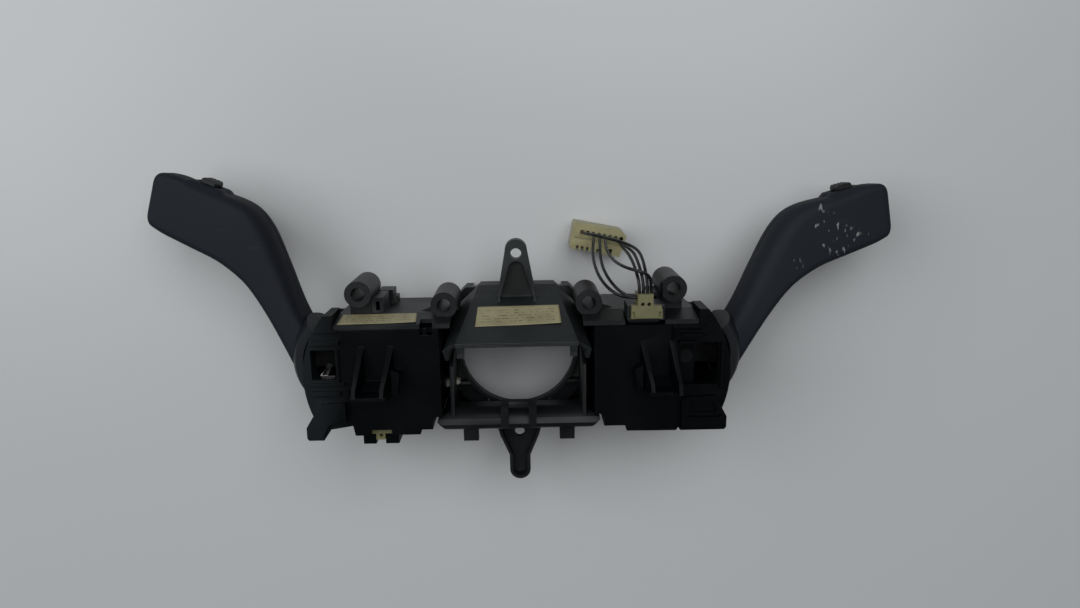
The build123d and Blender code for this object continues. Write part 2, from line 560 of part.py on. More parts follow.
def cover(side):
    solid = module_plate(side, COVER_Z + FIT, MODULE_FACE_Z)
    lip = module_core(side, MODULE_WALL + FIT)
    skirt = module_core(side, 2 * MODULE_WALL + FIT)
    rim = extrude(Pos(0, 0, COVER_Z - 2.4) * lip, 3.0, dir=(0, 0, 1))
    rim -= extrude(Pos(0, 0, COVER_Z - 3) * skirt, 5.0, dir=(0, 0, 1))
    solid += rim - block(80.0, 90.0, -12.0, 16.0, 40.0, COVER_Z)
    solid += chute(side)
    if side == "right":
        solid -= block(66.6, 82.0, -8.2, 9.6, COVER_Z - 4, MODULE_FACE_Z + 1)
        solid += ledge(63.0, 74.6, 16.6, 2.0) + ledge(66.6, 74.8, 13.2, 2.6, 1.4)
        solid += ledge(65.4, 72.8, 10.4, 3.2, 1.2)
        solid += block(63.0, 64.0, 11.2, 16.6, MODULE_FACE_Z - 0.5, MODULE_FACE_Z + 1.6)
        foot = [(67.0, -26.9), (67.0, -14.2), (68.4, -13.0), (81.2, -12.6), (82.6, -17.0),
                (84.8, -21.2), (84.8, -26.9)]
        solid += prism(foot, MODULE_FACE_Z - 0.5, MODULE_FACE_Z + 2.6)
        solid -= prism([(68.6, -21.6), (68.6, -20.6), (83.2, -20.6), (83.2, -21.6)],
                       MODULE_FACE_Z + 1.2, MODULE_FACE_Z + 4)
        solid -= prism([(70.2, -19.4), (70.2, -15.0), (80.0, -14.6), (81.4, -19.4)],
                       MODULE_FACE_Z + 1.0, MODULE_FACE_Z + 4)
        solid += block(82.6, 83.8, -9.0, 9.6, MODULE_FACE_Z - 0.5, MODULE_FACE_Z + 2.2)
    else:
        solid -= block(73.6, 83.6, -3.4, 9.3, COVER_Z - 4, MODULE_FACE_Z + 1)
        for x0, x1, y, height, width in ((72.0, 82.0, 17.0, 1.2, 0.8), (71.6, 83.0, 12.6, 1.8, 1.8),
                                         (70.4, 84.6, -4.9, 1.4, 0.9), (72.4, 84.0, -8.6, 1.8, 1.8)):
            solid += ledge(x0, x1, y, height, width)
        solid += block(72.2, 73.2, -4.4, 9.9, MODULE_FACE_Z - 0.5, MODULE_FACE_Z + 1.4)
        solid += block(70.2, 71.2, -20.6, -12.6, MODULE_FACE_Z - 0.5, MODULE_FACE_Z + 3.0)
        foot = [(71.2, -19.8), (71.2, -12.8), (80.0, -13.0), (84.0, -19.0), (86.4, -24.0),
                (86.2, -28.4), (80.8, -28.4), (77.8, -22.0)]
        solid += prism(foot, MODULE_FACE_Z - 0.5, MODULE_FACE_Z + 2.0)
        solid -= block(LEFT_PLUG_X[0], LEFT_PLUG_X[1], -30.0, -25.2, COVER_Z - 4, MODULE_FACE_Z + 1)
        solid -= block(*CLIP_X, 14.6, 20.0, COVER_Z - 4, MODULE_FACE_Z + 1)
        solid += block(36.4, 37.8, 14.2, 17.4, COVER_Z + FIT, MODULE_FACE_Z - 0.4)
    solid += bearing_bridge(side)
    return on_side(solid, side)


def board(side):
    z0 = HOUSING_Z + MODULE_WALL + BOARD_LIFT
    plan = [(41.0, 12.0), (43.0, 14.4), (74.0, 14.4), (77.0, 11.0), (77.0, -18.0),
            (72.0, -21.6), (43.0, -21.6), (41.0, -19.0)]
    solid = prism(plan, z0, z0 + BOARD_T)
    solid -= rod(PX, PY, JOURNAL_R + 1.6, z0 - 1, z0 + 3)
    for x, y in SCREW_AT:
        solid -= rod(x, y, SCREW_R, z0 - 1, z0 + 3)
    chips = block(46.0, 53.0, -8.0, -1.0, z0 + BOARD_T - 0.1, z0 + BOARD_T + 1.2)
    chips += block(48.0, 54.0, 6.0, 10.0, z0 + BOARD_T - 0.1, z0 + BOARD_T + 1.8)
    return on_side(solid + chips, side)


def detent_cam(side):
    """Block with a hollow ball face about the pivot and a groove at each stop."""
    r = PLUNGER_TIP + CAM_GAP
    body = block(-CAM_BACK, -r * 0.93, -10.0, 9.4, -CAM_HALF_Z, CAM_HALF_Z)
    body -= Sphere(r)
    for angle in TILT_STOPS[side]:
        x, y = polar(r + 0.2, 180.0 + REST_TILT[side] + angle)
        body -= rod(x, y, GROOVE_R, -CAM_HALF_Z - 1, CAM_HALF_Z + 1)
    return on_side(Pos(*PIVOT) * body, side)


def contact_clip():
    """Bent strip of spring metal that shows through the opening in the cover."""
    z = COVER_Z - 4.2
    t = 0.4
    strip = block(75.6, 81.2, -5.6, -4.6 + 1.4, z, z + t)
    arm = Pos(78.4, -0.6, z + 1.1) * Rot(X=24, Z=28) * Box(2.2, 8.0, t)
    tab = block(77.4, 79.4, -5.6, -5.2, z, COVER_Z + FIT)
    return on_side(strip + arm + tab, "left")


# ---- gimbal: carriage, pin, wiper, lever core ----
def carriage(side):
    x, y, z = YOKE_HALF_X, YOKE_HALF_Y, YOKE_HALF_Z
    frame = block(-x, x, -y, y, -z, z)
    frame -= block(-x - 1, x + 1, -y + YOKE_WALL_Y, y - YOKE_WALL_Y, -z + YOKE_WALL_Z,
                   z - YOKE_WALL_Z)
    top = rod(0, 0, JOURNAL_R, z - 1, z + 4.0)
    low = rod(0, 0, JOURNAL_R, -(PZ - HOUSING_Z - 1.0), -z + 1)
    frame += top + low
    frame -= Rot(X=90) * Cylinder(PIN_R, 2 * y + 2)
    return at_pivot(frame, side)


def pivot_pin(side):
    pin = Rot(X=90) * Cylinder(PIN_R, 2 * YOKE_HALF_Y)
    return at_pivot(pin, side)


def wiper(side):
    """Springy contact that rides over the board under the carriage."""
    board_top = HOUSING_Z + MODULE_WALL + BOARD_LIFT + BOARD_T - PZ
    low = board_top + 0.3
    t = 0.4
    foot = block(-4.4, 4.0, 4.6, 9.6, -YOKE_HALF_Z - t, -YOKE_HALF_Z)
    drop = block(-4.4, -4.4 + t, 5.4, 8.8, low, -YOKE_HALF_Z)
    toe = block(-10.5, -4.0, 5.4, 6.4, low, low + t)
    toe += block(-10.5, -4.0, 7.8, 8.8, low, low + t)
    return at_pivot(foot + drop + toe, side)


def lever_core(side):
    hub = Rot(X=90) * Cylinder(HUB_R, 2 * (YOKE_HALF_Y - YOKE_WALL_Y - 0.3))
    n = NECK_HALF
    neck = block(0, SHROUD_IN_R + 1, -n, n, -n, n)
    shroud = sector(SHROUD_IN_R, SHROUD_OUT_R + 1, SHROUD_LOW_DEG, SHROUD_HIGH_DEG, SHROUD_HALF_Z)
    shroud &= Sphere(SHROUD_OUT_R)
    tail = Rot(Y=-90) * Pos(0, 0, TAIL_END / 2) * Cylinder(TAIL_R, TAIL_END)
    bore = Rot(Y=-90) * Pos(0, 0, TAIL_END - 7.4) * Cylinder(PLUNGER_R + RUN, 15.2)
    run = Rot(Z=62.0) * block(-2.0, 19.0, -4.2, 4.2, -6.0, 6.0)
    tongue_bar = leaned(Pos(21.3, 3.0, 0) * run)
    solid = hub + neck + shroud + tail + (tongue_bar - Cylinder(SHROUD_IN_R + 3, 60))
    solid -= bore
    solid -= Rot(X=90) * Cylinder(PIN_R + RUN, 40)
    return at_pivot(solid, side)


def plunger(side):
    body = PLUNGER_TIP - PLUNGER_R - PLUNGER_BACK
    solid = Pos(0, 0, PLUNGER_BACK + body / 2) * Cylinder(PLUNGER_R, body)
    solid += Pos(0, 0, PLUNGER_TIP - PLUNGER_R) * Sphere(PLUNGER_R)
    return at_pivot(Rot(Y=-90) * solid, side)


def detent_spring(side):
    """Square-wire coil between the bottom of the tail's bore and the plunger."""
    bottom = TAIL_END - 15.0
    length = PLUNGER_BACK - bottom
    mean_r = PLUNGER_R - SPRING_WIRE
    rise = length - SPRING_WIRE - 0.04
    pitch = rise / SPRING_TURNS
    helix = Helix(pitch=pitch, height=rise, radius=mean_r)
    section = Plane(origin=helix @ 0, z_dir=helix % 0, x_dir=(1, 0, 0)) * Rectangle(
        SPRING_WIRE, SPRING_WIRE)
    coil = sweep(section, path=helix, is_frenet=True)
    start = bottom + SPRING_WIRE / 2 + 0.02
    return at_pivot(Rot(Y=-90) * Pos(0, 0, start) * coil, side)


# ---- stalk shells and slider ----
def stalk_loft(inset, trim=0):
    """Loft through the sections, set in by a wall and stopped short of the tip."""
    faces = []
    for x, y, heading, width, thick, corner in STALK_SECTIONS:
        plane = Plane(origin=(x, y, 0), z_dir=(*polar(1.0, heading), 0), x_dir=(0, 0, 1))
        size = (thick - 2 * inset, width - 2 * inset)
        faces.append(plane * RectangleRounded(*size, radius=corner - 0.6 * inset))
    if trim:
        x, y, heading, width, thick, corner = STALK_SECTIONS[-1]
        dx, dy = polar(trim, heading)
        plane = Plane(origin=(x - dx, y - dy, 0), z_dir=(*polar(1.0, heading), 0), x_dir=(0, 0, 1))
        size = (thick - 2 * inset, width - 2 * inset)
        faces[-1] = plane * RectangleRounded(*size, radius=corner - 0.6 * inset)
    return loft(faces)


def slider_frame(shape, side):
    """Place a shape whose x runs along the slider and whose y points out of the stalk."""
    return Pos(*KNOB_AT, 0) * Rot(Z=KNOB_HEADING) * Pos(KNOB_SHIFT[side], 0, 0) * shape


def stalk_body(side):
    shell = stalk_loft(0)
    pad_half = KNOB_L / 2 + KNOB_TRAVEL + 1.0
    pad_block = block(-pad_half, pad_half, -5.0, PAD_T - FIT, -KNOB_W / 2, KNOB_W / 2)
    pad = slider_frame(pad_block, side)
    solid = shell + pad - stalk_loft(STALK_WALL, STALK_WALL)
    slot_half = STEM_L / 2 + KNOB_TRAVEL + 0.4
    half_w = STEM_W / 2 + 0.3
    solid -= slider_frame(block(-slot_half, slot_half, -9.0, 4.0, -half_w, half_w), side)
    solid = leaned(solid)
    return solid - Sphere(SHROUD_OUT_R + FIT)


def stalk_shells(side):
    """Dash-side and driver-side shells, split on the leaned mid plane."""
    body = stalk_body(side)
    gap = FIT / 2
    upper = leaned(block(-60, 140, -90, 140, gap, 60))
    lower = leaned(block(-60, 140, -90, 140, -60, -gap))
    return at_pivot(body & upper, side), at_pivot(body & lower, side)


def slider_knob(side):
    cap = block(-KNOB_L / 2, KNOB_L / 2, PAD_T, PAD_T + KNOB_H, -KNOB_W / 2, KNOB_W / 2)
    cap = chamfer(cap.edges().filter_by(Axis.Z).group_by(Axis.Y)[-1], 0.8)
    grooves = [Pos(x, PAD_T + KNOB_H, 0) * Box(0.6, 0.7, KNOB_W + 1) for x in (-1.6, 0.0, 1.6)]
    stem = block(-STEM_L / 2, STEM_L / 2, -4.4, PAD_T + 0.3, -STEM_W / 2, STEM_W / 2)
    knob = cap - grooves + stem
    return at_pivot(leaned(slider_frame(knob, side)), side)


def slider_board(side):
    half_w = STALK_SECTIONS[8][4] / 2 - STALK_WALL - 0.8
    half_l = KNOB_L / 2 + KNOB_TRAVEL + 2
    plate = block(-half_l, half_l, -6.2, -5.0, -half_w, half_w)
    return at_pivot(leaned(slider_frame(plate, side)), side)


# ---- cancelling pawl of the lighting module ----
def cancel_pawl():
    x, y = PAWL_AT
    z0 = PAWL_Z - 2.0
    z1 = PAWL_Z + 2.0
    nose = [(x, y + 1.9), (27.0, -11.4), (25.6, -12.2), (25.6, -13.0), (27.0, -13.6), (x, y - 1.9)]
    body = prism(nose, z0, z1) + rod(x, y, 3.0, z0, z1) - rod(x, y, 1.5 + RUN, z0 - 1, z1 + 1)
    heel = block(x - 1.0, x + 1.0, y - 4.2, y - 2.4, z0, z1)
    return on_side(body + heel, "left")


def pawl_spring():
    """Leaf spring between the pawl's heel and the housing wall."""
    x, y = PAWL_AT
    z0 = PAWL_Z - 1.5
    leaf = block(MODULE_IN_X + MODULE_WALL + 0.1, x - 1.1, y - 4.0, y - 3.6, z0, z0 + 3.0)
    return on_side(leaf, "left")


# ---- screws, labels, connectors ----
def module_screws():
    screws = []
    for x, y in SCREW_AT:
        top = HOUSING_Z + MODULE_WALL + BOARD_LIFT - 1.6
        head = rod(x, y, SCREW_HEAD_R, FLOOR_Z - 2.2, FLOOR_Z)
        socket = Pos(x, y, FLOOR_Z - 2.2) * extrude(RegularPolygon(1.5, 6), 1.2)
        screw = head + rod(x, y, SCREW_R, FLOOR_Z - 0.1, top) - socket
        screws += [screw, mirror(screw, about=Plane.YZ)]
    return Compound(children=screws)


def hood_label():
    """Thin plate on the sloping crown of the hood."""
    slope = atan2(HOOD_NEAR_Z - HOOD_FAR_Z, HOOD_FAR_Y - HOOD_NEAR_Y)
    z = 41.0
    y = HOOD_NEAR_Y + (HOOD_FAR_Y - HOOD_NEAR_Y) * (HOOD_NEAR_Z - z) / (HOOD_NEAR_Z - HOOD_FAR_Z)
    plate = Pos(0, 0, LABEL_T / 2) * Box(36.0, 12.4, LABEL_T)
    return Pos(0.4, y, z) * Rot(X=-degrees(slope)) * Pos(0, 0, 0.02) * plate


def left_label():
    """Thin plate on the slope of the wall over the lighting module."""
    low_y, low_z = WALL_CREST
    high_y, high_z = WALL_KNEE
    slope = atan2(low_z - high_z, high_y - low_y)
    plate = Pos(0, 0, LABEL_T / 2) * Box(32.2, 10.6, LABEL_T)
    centre = Pos(56.5, (low_y + high_y) / 2, (low_z + high_z) / 2)
    return on_side(centre * Rot(X=-degrees(slope)) * Pos(0, 0, 0.02) * plate, "left")


def left_connector():
    x0, x1 = LEFT_PLUG_X
    z0, z1 = LEFT_PLUG_Z
    head = block(x0 + FIT, x1 - FIT, LEFT_PLUG_LOW_Y, -25.3, z0, z1)
    strip = block(JAWS[0][1] + FIT, JAWS[1][0] - FIT, -31.2, LEFT_PLUG_LOW_Y + 0.5, z0, z1 - 0.6)
    solid = head + strip - rod((x0 + x1) / 2 + 0.8, -29.3, 0.7, z1 - 4, z1 + 1)
    return on_side(solid, "left")


def right_connector():
    """Socket of the wiper module, open to the dash side."""
    x0, x1 = PLUG_X[0] - 3.6, PLUG_X[1] + 5.2
    top = MODULE_FACE_Z + 2.0
    low_y = 19.6
    solid = block(x0, x1, low_y, 25.9, SOCKET_Z0, top)
    solid += block(x0 + 1.2, x1 - 1.2, MODULE_TOP_Y + FIT, low_y, SOCKET_Z0, SOCKET_Z0 + 6)
    solid -= block(x0 + 1.0, x1 - 1.0, low_y + 1.0, 24.9, SOCKET_Z0 + 1.4, top + 1)
    solid -= block(PLUG_X[0] - 0.4, PLUG_X[1] + 0.4, 24.0, 27.0, PLUG_Z[0] - 0.4, top + 1)
    return solid


def right_plug():
    """Cream plug: shank in the socket, flange, and the block that holds the wires."""
    x0, x1 = PLUG_X
    z0, z1 = PLUG_Z
    shank = block(x0 - 2.4, x1 + 4.0, 20.8, 24.7, SOCKET_Z0 + 1.5, z1 - 1.6)
    flange = block(x0 - 2.5, x1 + 3.4, 24.0, 26.4, z1 - 3.0, z1)
    lower = block(x0 - 1.1, x1 + 2.2, 21.4, 24.1, z1 - 2.0, z1)
    wire_block = block(x0, x1, 24.0, PLUG_Y, z0, z1)
    solid = shank + flange + lower + wire_block
    for x in (50.0, 52.5):
        solid -= rod(x, 27.0, 0.75, z1 - 4, z1 + 1)
    return solid


def connector_hole(index):
    """Place of one contact hole of the harness connector, counted from 1."""
    along = (index - (HOLE_COUNT + 1) / 2) * HOLE_PITCH
    dx, dy = polar(along, CONNECTOR_TURN)
    return (CONNECTOR_AT[0] + dx, CONNECTOR_AT[1] + dy)


def harness_connector():
    plan = [(-13.2, -7.4), (-11.9, -8.4), (9.8, -8.2), (10.6, -2.2), (11.0, 1.4), (8.2, 3.9),
            (-12.8, 3.9), (-13.2, 3.2)]
    solid = prism(plan, 0, CONNECTOR_H)
    for k in range(5):
        x = -10.4 + k * 2.3
        solid -= block(x, x + 1.2, -9.0, -6.4, 2.0, CONNECTOR_H + 1)
    solid -= block(4.4, 6.0, -9.0, -5.4, 2.0, CONNECTOR_H + 1)
    solid -= block(-11.6, 8.6, -3.4, -2.6, CONNECTOR_H - 0.6, CONNECTOR_H + 1)
    for k in range(1, HOLE_COUNT + 1):
        if k not in [hole for hole, points in WIRES]:
            along = (k - (HOLE_COUNT + 1) / 2) * HOLE_PITCH
            solid -= rod(along, 0, 0.8, CONNECTOR_H - 5, CONNECTOR_H + 1)
    return Pos(*CONNECTOR_AT) * Rot(Z=CONNECTOR_TURN) * solid


# ---- wires: a hand-laid route each, from the plug to a hole of the harness connector ----
TOP_ROW_Z = 57.6
LOW_ROW_Z = 55.4
# hole in the harness connector, then the route without its last two points
WIRES = [
    (1, [(52.1, PLUG_Y, TOP_ROW_Z), (52.1, 34.8, TOP_ROW_Z), (51.4, 39.3, 56.8),
         (51.2, 43.4, 50.5), (50.3, 46.3, 43.0), (46.2, 48.1, 36.0), (40.2, 49.2, 30.0),
         (33.6, 50.4, 24.5)]),
    (6, [(50.5, PLUG_Y, TOP_ROW_Z), (50.5, 34.6, TOP_ROW_Z), (49.8, 38.7, 56.5),
         (49.3, 42.6, 49.0), (48.6, 45.3, 40.0), (45.3, 46.9, 30.0), (42.8, 47.9, 23.0)]),
    (7, [(48.9, PLUG_Y, TOP_ROW_Z), (48.9, 34.4, TOP_ROW_Z), (48.2, 38.1, 56.2),
         (47.6, 41.8, 48.5), (46.6, 44.4, 39.5), (45.9, 45.0, 31.0), (44.9, 46.6, 22.5)]),
    (5, [(53.6, PLUG_Y, TOP_ROW_Z), (53.6, 35.2, TOP_ROW_Z), (52.2, 38.8, 60.2),
         (48.4, 40.5, 61.2), (44.2, 41.2, 57.8), (41.2, 41.9, 50.5), (39.4, 42.9, 42.0),
         (38.6, 44.4, 33.5), (38.6, 46.2, 25.5)]),
    (4, [(PLUG_X[0], 29.4, LOW_ROW_Z), (45.0, 29.4, LOW_ROW_Z), (41.2, 31.6, 55.0),
         (38.0, 34.9, 51.0), (35.9, 38.6, 43.0), (35.6, 42.3, 33.5), (36.3, 46.2, 24.0)]),
    (3, [(PLUG_X[0], 29.4, TOP_ROW_Z), (44.8, 29.4, TOP_ROW_Z), (40.6, 30.6, 58.8),
         (36.4, 33.2, 56.5), (33.4, 36.9, 49.0), (32.3, 41.0, 39.0), (32.7, 45.0, 29.0)]),
]


def wire_route(index):
    """Points of one wire, ending straight down into its hole."""
    hole, points = WIRES[index]
    x, y = connector_hole(hole)
    return points + [(x, y, CONNECTOR_H + 5.0), (x, y, CONNECTOR_H)]


def wire(index):
    """Straight runs joined by tangent arcs as large as the runs allow."""
    points = [Vector(*p) for p in wire_route(index)]
    radii = []
    for a, b, c in zip(points, points[1:], points[2:]):
        turn = (b - a).get_angle(c - b)
        shorter = min((b - a).length, (c - b).length)
        radii.append(0.45 * shorter / tan(radians(turn / 2)))
    path = FilletPolyline(*points, radius=radii)
    tube = sweep(Plane(origin=path @ 0, z_dir=path % 0) * Circle(WIRE_R), path=path)
    ratio = tube.volume / (path.length * 3.14159265 * WIRE_R**2)
    print(f"wire_{index + 1}: {path.length:.1f} mm, smallest radius {min(radii):.1f}, "
          f"volume ratio {ratio:.4f}")
    return tube


# ---- write one file per node ----
def side_nodes(side):
    rear, front = stalk_shells(side)
    return {
        f"{side}_housing": housing(side),
        f"{side}_cover": cover(side),
        f"{side}_board": board(side),
        f"{side}_detent_cam": detent_cam(side),
        f"{side}_carriage": carriage(side),
        f"{side}_pivot_pin": pivot_pin(side),
        f"{side}_wiper": wiper(side),
        f"{side}_lever_core": lever_core(side),
        f"{side}_detent_plunger": plunger(side),
        f"{side}_detent_spring": detent_spring(side),
        f"{side}_stalk_rear_shell": rear,
        f"{side}_stalk_front_shell": front,
        f"{side}_slider_knob": slider_knob(side),
        f"{side}_slider_board": slider_board(side),
    }


def main():
    nodes = {
        "carrier_frame": carrier_frame(),
        "hood_cover": hood_cover(),
        "hood_label": hood_label(),
        "module_screws": module_screws(),
    }
    for side in SIDES:
        nodes.update(side_nodes(side))
    nodes["left_contact_clip"] = contact_clip()
    nodes["left_cancel_pawl"] = cancel_pawl()
    nodes["left_pawl_spring"] = pawl_spring()
    nodes["left_label"] = left_label()
    nodes["left_connector"] = left_connector()
    nodes["right_connector"] = right_connector()
    nodes["right_plug"] = right_plug()
    nodes["harness_connector"] = harness_connector()
    for index in range(len(WIRES)):
        nodes[f"wire_{index + 1}"] = wire(index)
    os.makedirs("parts", exist_ok=True)
    for name, shape in nodes.items():
        export_step(shape, f"parts/{name}.step")


main()
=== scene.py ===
# %% [markdown]
# # A combination stalk switch, dressed for the camera
#
# The real thing is a handful of black injection mouldings: a carrier round the steering
# column, two switch modules and two hollow stalks, with a few cream connectors and six
# thin wires. The solids already hold every size, so this notebook adds what a moulding
# shop and years in a car add: rounded edges, grain, dust, polish and paper labels.

# %% Load the frame that every piece is built round
import json
import bmesh
import bpy
import numpy as np
from math import cos, hypot, radians, sin
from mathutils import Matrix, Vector


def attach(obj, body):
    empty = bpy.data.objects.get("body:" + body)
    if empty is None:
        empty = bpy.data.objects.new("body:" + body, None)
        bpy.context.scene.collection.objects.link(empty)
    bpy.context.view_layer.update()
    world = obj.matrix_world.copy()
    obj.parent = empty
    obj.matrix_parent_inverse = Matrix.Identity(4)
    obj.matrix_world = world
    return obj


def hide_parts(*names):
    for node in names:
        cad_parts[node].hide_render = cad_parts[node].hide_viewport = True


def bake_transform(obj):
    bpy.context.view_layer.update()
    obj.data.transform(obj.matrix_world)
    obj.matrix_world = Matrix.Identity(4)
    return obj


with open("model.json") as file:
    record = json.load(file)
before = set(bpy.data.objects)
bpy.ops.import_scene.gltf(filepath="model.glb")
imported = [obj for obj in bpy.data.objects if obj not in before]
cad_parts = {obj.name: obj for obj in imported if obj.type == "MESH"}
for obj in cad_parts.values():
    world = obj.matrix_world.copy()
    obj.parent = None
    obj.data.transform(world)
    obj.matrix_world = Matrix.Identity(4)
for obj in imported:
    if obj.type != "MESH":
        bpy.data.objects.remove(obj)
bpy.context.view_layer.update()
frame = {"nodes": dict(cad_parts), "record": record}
MM = 0.001
SIDES = ("left", "right")
print("nodes in the frame:", len(frame["nodes"]))

# %% [markdown]
# ## Camera
#
# It is held by hand over the table, a little towards the far edge. A camera is its place
# and three small turns: tipped, rolled and swung away from looking straight down.

# %% Camera: place in millimetres, turns in degrees about x, y and z
CAMERA_AT = (4.8, 94.2, 367.0)
CAMERA_TURN = (-12.15, -1.065, -0.889)
LENS, SENSOR_WIDTH = 26.667, 36.0

camera = bpy.data.objects.new("camera", bpy.data.cameras.new("camera"))
camera.location = [x * MM for x in CAMERA_AT]
camera.rotation_euler = [radians(a) for a in CAMERA_TURN]
camera.data.sensor_width = SENSOR_WIDTH
camera.data.lens = LENS
camera.data.clip_start = 0.01
camera.data.clip_end = 20.0
bpy.context.collection.objects.link(camera)
bpy.context.scene.camera = camera

# %% [markdown]
# ## Wires
#
# Six limp wires leave the cream plug, bend over and drop into the connector that lies
# on the table. A cord is a curve with a round section: the listed points only
# steer it, so a wire keeps the easy bend that plastic insulation has.

# %% Routes of the wires, in millimetres
PLUG_X, PLUG_Y = 48.1, 31.0
TOP_ROW_Z, LOW_ROW_Z = 57.6, 55.4
WIRE_R = 0.65
CONNECTOR_AT, CONNECTOR_TURN, CONNECTOR_H = (38.25, 48.45), -11.3, 12.0
HOLE_PITCH, HOLE_COUNT = 2.54, 8
LAST_DROP = 5.0
# the hole that each wire ends in, and the points that steer it
WIRES = [
    (1, [(52.1, PLUG_Y, TOP_ROW_Z), (52.1, 34.8, TOP_ROW_Z), (51.4, 39.3, 56.8),
         (51.2, 43.4, 50.5), (50.3, 46.3, 43.0), (46.2, 48.1, 36.0), (40.2, 49.2, 30.0),
         (33.6, 50.4, 24.5)]),
    (6, [(50.5, PLUG_Y, TOP_ROW_Z), (50.5, 34.6, TOP_ROW_Z), (49.8, 38.7, 56.5),
         (49.3, 42.6, 49.0), (48.6, 45.3, 40.0), (45.3, 46.9, 30.0), (42.8, 47.9, 23.0)]),
    (7, [(48.9, PLUG_Y, TOP_ROW_Z), (48.9, 34.4, TOP_ROW_Z), (48.2, 38.1, 56.2),
         (47.6, 41.8, 48.5), (46.6, 44.4, 39.5), (45.9, 45.0, 31.0), (44.9, 46.6, 22.5)]),
    (5, [(53.6, PLUG_Y, TOP_ROW_Z), (53.6, 35.2, TOP_ROW_Z), (52.2, 38.8, 60.2),
         (48.4, 40.5, 61.2), (44.2, 41.2, 57.8), (41.2, 41.9, 50.5), (39.4, 42.9, 42.0),
         (38.6, 44.4, 33.5), (38.6, 46.2, 25.5)]),
    (4, [(PLUG_X, 29.4, LOW_ROW_Z), (45.0, 29.4, LOW_ROW_Z), (41.2, 31.6, 55.0),
         (38.0, 34.9, 51.0), (35.9, 38.6, 43.0), (35.6, 42.3, 33.5), (36.3, 46.2, 24.0)]),
    (3, [(PLUG_X, 29.4, TOP_ROW_Z), (44.8, 29.4, TOP_ROW_Z), (40.6, 30.6, 58.8),
         (36.4, 33.2, 56.5), (33.4, 36.9, 49.0), (32.3, 41.0, 39.0), (32.7, 45.0, 29.0)]),
]


def connector_hole(index):
    """Centre of a contact hole: a step along the turned connector for each hole."""
    along = (index - (HOLE_COUNT + 1) / 2) * HOLE_PITCH
    turn = radians(CONNECTOR_TURN)
    return (CONNECTOR_AT[0] + along * cos(turn), CONNECTOR_AT[1] + along * sin(turn))


# %% Wires as smooth curves
def cord_curve(name, points_mm, radius_mm):
    """A curve of one open spline that the points steer, with a round section.

    The section has radius 1 and each point scales it down, so the curve's box is tight."""
    data = bpy.data.curves.new(name, "CURVE")
    data.dimensions = "3D"
    data.bevel_depth = 1.0
    data.bevel_resolution = 5
    data.resolution_u = 16
    data.use_fill_caps = True
    spline = data.splines.new("NURBS")
    spline.points.add(len(points_mm) - 1)
    for point, place in zip(spline.points, points_mm):
        point.co = (*[x * MM for x in place], 1.0)
        point.radius = radius_mm * MM
    spline.order_u = 3
    spline.use_endpoint_u = True
    piece = bpy.data.objects.new(name, data)
    bpy.context.collection.objects.link(piece)
    return piece


def curve_length(piece):
    """Sum of the short straight steps along the curve's own line, in metres."""
    bare = piece.copy()
    bare.data = piece.data.copy()
    bare.data.bevel_depth = 0.0
    line = bpy.data.meshes.new_from_object(bare)
    at = np.empty(len(line.vertices) * 3)
    line.vertices.foreach_get("co", at)
    steps = np.diff(at.reshape(-1, 3), axis=0)
    bare_data = bare.data
    bpy.data.objects.remove(bare)
    bpy.data.curves.remove(bare_data)
    bpy.data.meshes.remove(line)
    return float(np.linalg.norm(steps, axis=1).sum())


wires = []
for number, (hole, points) in enumerate(WIRES, start=1):
    x, y = connector_hole(hole)
    route = points + [(x, y, CONNECTOR_H + LAST_DROP), (x, y, CONNECTOR_H)]
    wire = cord_curve(f"wire_{number}_insulation", route, WIRE_R)
    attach(wire, "root")
    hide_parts(f"wire_{number}")
    wires.append((wire, route[0]))
    print(wire.name, "length in mm:", round(curve_length(wire) / MM, 1))

# %% [markdown]
# ## Reading meshes and writing surfaces
#
# Every new shape here is a grid: a function of two parameters gives an array of points,
# and one call turns it into a mesh. A solid's own mesh comes as loose triangles, so a
# copy is welded first and its flat faces are joined again, which lets a bevel run
# cleanly along the real edges.


# %% Grid to mesh
def grid_mesh(name, points, closed=False):
    """Mesh of a grid of points (rows, columns, 3) in metres; closed joins its last column
    to its first."""
    rows, columns = points.shape[:2]
    index = np.arange(rows * columns).reshape(rows, columns)
    if closed:
        index = np.hstack([index, index[:, :1]])
    quads = np.stack([index[:-1, :-1], index[:-1, 1:], index[1:, 1:], index[1:, :-1]], -1)
    mesh = bpy.data.meshes.new(name)
    mesh.from_pydata(points.reshape(-1, 3), [], quads.reshape(-1, 4).tolist())
    mesh.update()
    return mesh


def outward(mesh, weld=1e-6):
    """Weld doubles and turn all faces outwards."""
    shape = bmesh.new()
    shape.from_mesh(mesh)
    bmesh.ops.remove_doubles(shape, verts=shape.verts, dist=weld)
    bmesh.ops.recalc_face_normals(shape, faces=shape.faces)
    shape.to_mesh(mesh)
    shape.free()


def piece_from(name, mesh, body, *materials):
    """A finished piece at the origin that rides on a body."""
    piece = bpy.data.objects.new(name, mesh)
    bpy.context.collection.objects.link(piece)
    for material in materials:
        mesh.materials.append(material)
    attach(piece, body)
    return piece


# %% Dressed copies of solids
WELD = 2e-6
FLAT = radians(0.6)
EDGE = radians(32.0)


def body_holding(node):
    """Name of the body that a node belongs to."""
    bodies = frame["record"]["behaviour"]["bodies"]
    return next(body for body, members in bodies.items() if node in members)


